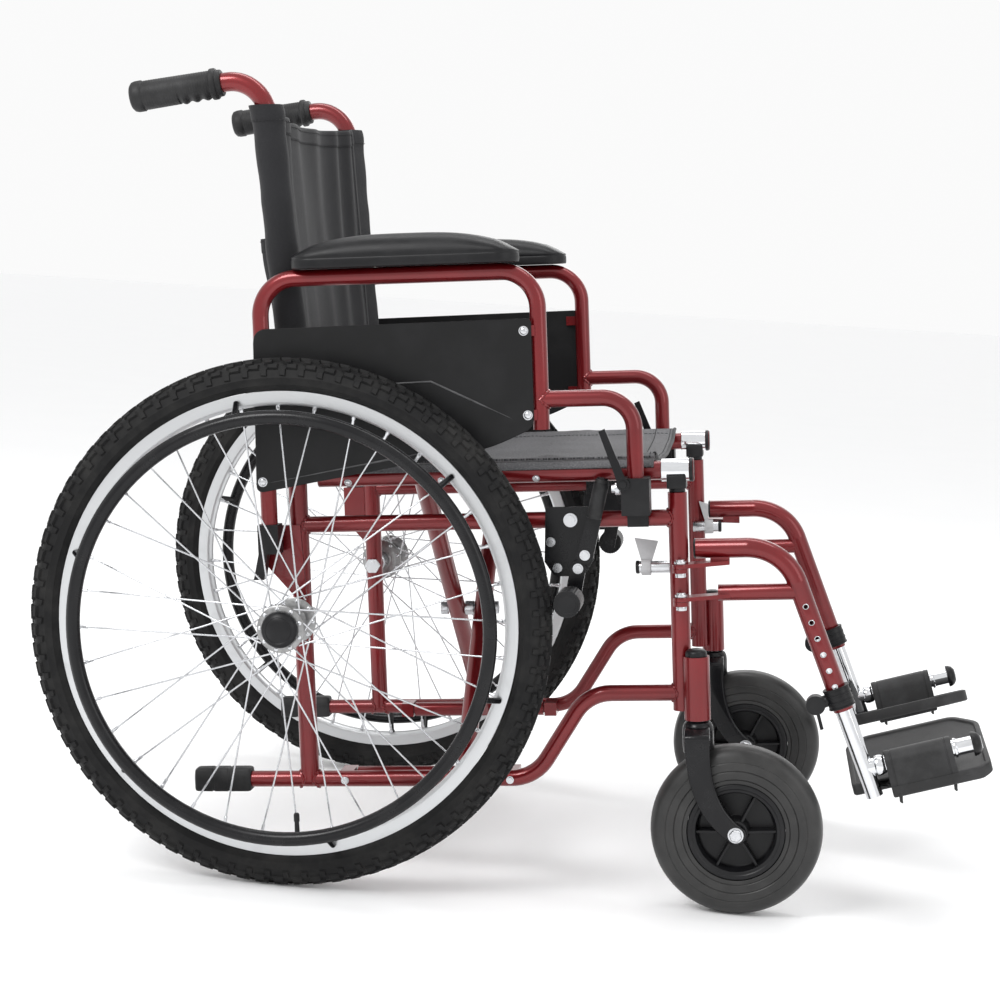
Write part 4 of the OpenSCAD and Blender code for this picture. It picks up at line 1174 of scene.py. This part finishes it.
seat = make(seat_cloth(TOP_END, len(SECTION) - TOP_END, True), "seat_cloth", "left", "seat", "seat_fabric", angle=70,
            stands_for=["seat_sling"])
thicken(seat, 2.2)
seam = make(seat_seams(), "seat_stitching", "left", "seat", "seat_fabric", finish="thread")
piping = make(seat_piping(), "seat_piping", "left", "seat", "seat_fabric")
for piece in (seat, seam, piping):
    chair_point(220, -FRAME_Y, SEAT_Z)
    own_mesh(piece)
TOP_WIDTH = SECTION[-1 - TOP_END][2] - SECTION[TOP_END][2]
WRAP_WIDTH = SECTION[WRAP_END - 1][2]
TOP_WIDTH * MM
for wrap, rail_body in zip(pair(seat_cloth(0, WRAP_END, False), "rail_wrap", "rail", "seat_fabric", angle=70),
                           RAIL_BODY.values()):
    thicken(wrap, 1.8)
    WRAP_WIDTH * MM
pair(rail_studs(), "rail_studs", "rail", "zinc_steel")
print("seat cloth", round(FLAT_WIDTH), "mm wide,", len(seat.data.polygons), "faces")

# %% [markdown]
# The back is a sheet hung between two sleeves that slip over the canes. Each
# sleeve is a loose loop, sewn shut where the sheet leaves it. Each sleeve rides
# with its own cane and the sheet between rides with the right frame, so these
# are three pieces.


# %% Back sleeves
BACK_LOW, BACK_TOP = 215, 590
BEND_START = CANE_TOP - 44


def cane_at(z):
    t = max(0, (z - CANE_BREAK) / (CANE_TOP - CANE_BREAK))
    bend = max(0, z - BEND_START) ** 2 / 84
    return Vector((-CANE_LEAN * t - bend, FRAME_Y + CANE_SPLAY * t, z))


def seam_at(z):
    """Where the sheet leaves the left sleeve."""
    return cane_at(z) + Vector((9.5, -24, 0))


def sleeve_ring(z, shrink):
    c, points = cane_at(z), []
    apex = Vector((9.5, -24, 0)) * (1 - shrink / 26)
    loose = 1 + 0.10 * noise.noise(Vector((z / 40, 3, 1)))
    a, b = (18.6 * loose - shrink), (15.0 - shrink)
    if z > BACK_TOP - 20 or z < BACK_LOW + 16:
        a, b = a + 0.7, b + 0.7
    heading = atan2(apex.y / b, apex.x / a)
    open_by = math.acos(min(1, 1 / hypot(apex.x / a, apex.y / b)))
    arc = [heading + open_by + (2 * pi - 2 * open_by) * k / 26 for k in range(27)]
    ring = [c + Vector((a * cos(t), b * sin(t), 0)) for t in arc]
    first, last = ring[0], ring[-1]
    tip = c + apex
    ring += [last.lerp(tip, k / 4) for k in range(1, 5)] + [tip.lerp(first, k / 4) for k in range(1, 4)]
    wrinkle = noise.noise(Vector((z / 22, 5, 9))) * 0.9
    return [p + (p - c).normalized() * wrinkle * abs(sin(3 * atan2(p.y - c.y, p.x - c.x))) for p in ring]


def sleeve():
    form, weave = Form(), []
    levels = [BACK_LOW + 5 * i for i in range(75)] + [BACK_TOP]
    rows = [sleeve_ring(z, 0) for z in levels] + [sleeve_ring(z, 1.4) for z in levels[::-1]]
    for row in rows:
        run = 0.0
        for i, p in enumerate(row):
            run += (p - row[i - 1]).length if i else 0
            weave.append((run * MM, p.z * MM))
    form.net(rows, along=True, cloth=weave)
    return form


def sleeve_seams():
    form = Form()
    for z in (BACK_TOP - 18, BACK_LOW + 14):
        ring = sleeve_ring(z, -0.5)
        stitches(form, ring + ring[:1], 3.0, 2.0, 0.45)
    path = []
    for i in range(74):
        z = BACK_LOW + 3 + 5 * i
        path.append(sleeve_ring(z, -0.35)[29])
    stitches(form, path, 3.0, 2.0, 0.45)
    return form


loops = pair(sleeve(), "back_sleeve", "frame", "back_fabric", angle=50)
threads = pair(sleeve_seams(), "sleeve_stitching", "frame", "back_fabric", finish="thread")
print("sleeves made")

# %% [markdown]
# The sheet between the sleeves is slack: it bellies backwards, droops at its
# top edge and hangs in long upright folds that are deepest near the sleeves.
# The folds are rounded ridges whose place drifts with height.

# %% Back sheet and pocket
FOLDS = [(0.045, 0.020, 3.5), (0.10, 0.030, -4.5), (0.17, 0.032, 4.6), (0.26, 0.045, -3.6), (0.36, 0.040, 2.8),
         (0.47, 0.060, -2.0), (0.585, 0.045, 2.2), (0.69, 0.040, -2.6), (0.785, 0.034, 3.6), (0.865, 0.028, -4.4),
         (0.925, 0.020, 5.0), (0.968, 0.016, -2.6)]


def back_at(u, v, out=0.0):
    """A point of the sheet: u runs from the left sleeve to the right one, v from bottom to top."""
    z = BACK_LOW + (BACK_TOP - BACK_LOW) * v
    left = seam_at(z)
    right = Vector((left.x, -left.y, z))
    p = left.lerp(right, u)
    belly = sin(pi * u) ** 0.75
    p.x -= belly * (17 + 13 * v - 8 * v ** 6)
    drift = 0.018 * sin(v * 3.1 + 0.6)
    fade = 0.35 + 0.65 * v
    edge = min(1, u / 0.03, (1 - u) / 0.03)
    for at, wide, deep in FOLDS:
        p.x += deep * fade * edge * math.exp(-((u - at - drift * sin(at * 9)) / wide) ** 2)
    p.x += edge * 2.4 * noise.noise(Vector((u * 7, v * 3.2, 4)))
    p.z -= (9 * v ** 5 * sin(pi * u) ** 0.6) + 3 * (1 - v) ** 8 * sin(pi * u)
    if v > 0.945 or v < 0.045:
        out = out + 0.8
    p.x += out
    return p


def hung(at, steps, levels, wide, tall):
    """A sheet whose points are at(u, v), with its own flat measure of wide by tall metres."""
    form, rows, weave = Form(), [], []
    for v in sorted(set(levels)):
        rows.append([at(k / steps, v) for k in range(steps + 1)])
        weave += [(k / steps * wide, v * tall) for k in range(steps + 1)]
    form.net(rows, around=False, caps=False, cloth=weave)
    return form


def back_sheet():
    hems = [0.938, 0.944, 0.946, 0.952, 0.992, 0.04, 0.046, 0.05]
    return hung(back_at, 130, [i / 60 for i in range(61)] + hems, 0.40, 0.375)


def back_seams():
    form = Form()
    for v in (0.94, 0.05, 0.985):
        stitches(form, [back_at(k / 90, v, 1.3) for k in range(1, 90)], 3.2, 2.0, 0.45)
    for u in (0.012, 0.988):
        stitches(form, [back_at(u, k / 60, 1.2) for k in range(1, 60)], 3.2, 2.0, 0.45)
    return form


POCKET_LOW, POCKET_TOP = 0.03, 0.60


def pocket_at(u, v, out=0.0):
    """The rear pocket: v runs from its bottom seam to its open mouth."""
    at = back_at(u, POCKET_LOW + (POCKET_TOP - POCKET_LOW) * v)
    side = min(1, u / 0.035, (1 - u) / 0.035)
    rear = cane_at(at.z).x - 22 - 9 * v + 4 * noise.noise(Vector((u * 5, v * 4, 8)))
    base = min(1, v / 0.10) ** 0.7
    droop = 6 * sin(pi * u) * v
    at.z -= droop
    at.x = (at.x - 1.6) + (min(rear, at.x - 4) - at.x) * (side ** 0.6) * base - out
    if v > 0.93:
        at.x -= 0.8
    return at


def pocket():
    return hung(pocket_at, 90, [i / 36 for i in range(37)] + [0.925, 0.931, 0.937], 0.41, 0.215)


def pocket_seams():
    form = Form()
    for v in (0.925, 0.985):
        stitches(form, [pocket_at(k / 90, v, 1.2) for k in range(2, 89)], 3.2, 2.0, 0.45)
    return form


BACK_ANCHOR, BACK_FOLDED = -201, 0.2655
back = make(back_sheet(), "back_sheet", "left", "right_frame", "back_fabric", angle=70, stands_for=["back_sling"])
thicken(back, 1.6)
back_thread = make(back_seams(), "back_stitching", "left", "right_frame", "back_fabric", finish="thread")
bag = make(pocket(), "back_pocket", "left", "right_frame", "back_fabric", angle=70)
thicken(bag, 1.4)
bag_thread = make(pocket_seams(), "pocket_stitching", "left", "right_frame", "back_fabric", finish="thread")
for piece in (back, back_thread, bag, bag_thread):
    chair_point(0, BACK_ANCHOR, 400)
    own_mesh(piece)
print("back sheet and pocket made")

# %% [markdown]
# The chair is shown on a plain pale floor in soft studio light: a broad key
# from the upper left, a fill from the right, a strip above that draws the
# long highlights on the tubes, and a lamp behind that parts the chair's far
# side from the floor.

# %% Floor and light
bpy.context.scene.view_settings.view_transform = "Standard"
world = bpy.data.worlds.new("studio")
bpy.context.scene.world = world
world.use_nodes = True
world.node_tree.nodes["Background"].inputs[0].default_value = (1, 1, 1, 1)
world.node_tree.nodes["Background"].inputs[1].default_value = 0.96

floor_mesh = bpy.data.meshes.new("floor")
floor_mesh.from_pydata([(-30, -30, 0), (30, -30, 0), (30, 30, 0), (-30, 30, 0)], [], [[0, 1, 2, 3]])
floor = bpy.data.objects.new("floor", floor_mesh)
bpy.context.scene.collection.objects.link(floor)
ground = Finish("pale floor", roughness=0.6, specular_ior_level=0.3)
ground.feed("Base Color", ground.mix(ground.noise(3, 2), (0.955, 0.958, 0.965), (0.98, 0.982, 0.985)))
floor.data.materials.append(ground.material)


def softbox(name, at, toward, size, power, shape="RECTANGLE"):
    lamp = bpy.data.lights.new(name, "AREA")
    lamp.shape, lamp.energy = shape, power
    lamp.size, lamp.size_y = size
    box = bpy.data.objects.new(name, lamp)
    box.location = at
    box.rotation_euler = (Vector(toward) - Vector(at)).to_track_quat("-Z", "Y").to_euler()
    bpy.context.scene.collection.objects.link(box)


softbox("key", (-1.6, -2.4, 2.9), (0, 0, 0.45), (1.3, 1.3), 60)
softbox("fill", (2.6, -1.8, 1.6), (0, 0, 0.4), (1.4, 1.8), 12)
softbox("strip", (0.2, 0.4, 3.2), (0, 0, 0.4), (3.0, 0.5), 26)
softbox("rear", (0.4, 3.0, 2.0), (0, 0, 0.5), (2.0, 1.2), 16)
print("lights placed")

# %% [markdown]
# The camera stands to the chair's right, a little ahead of its middle and
# above it, and is turned slightly towards the rear, as a catalogue view is.

# %% Camera
EYE, YAW, TILT, ROLL = Vector((0.2939, -2.711, 0.735)), radians(7.35), radians(6.37), radians(3.44)
ahead = Vector((-sin(YAW) * cos(TILT), cos(YAW) * cos(TILT), -sin(TILT)))
level = Vector((cos(YAW), sin(YAW), 0))
above = level.cross(ahead)
right = level * cos(ROLL) + above * sin(ROLL)
up = above * cos(ROLL) - level * sin(ROLL)
camera_data = bpy.data.cameras.new("camera")
camera_data.sensor_width, camera_data.lens, camera_data.clip_end = 36, 78.8, 100
camera = bpy.data.objects.new("camera", camera_data)
camera.matrix_world = Matrix.Translation(EYE) @ Matrix((right, up, -ahead)).transposed().to_4x4()
bpy.context.scene.collection.objects.link(camera)
bpy.context.scene.camera = camera
print("camera at", tuple(round(c, 3) for c in EYE))
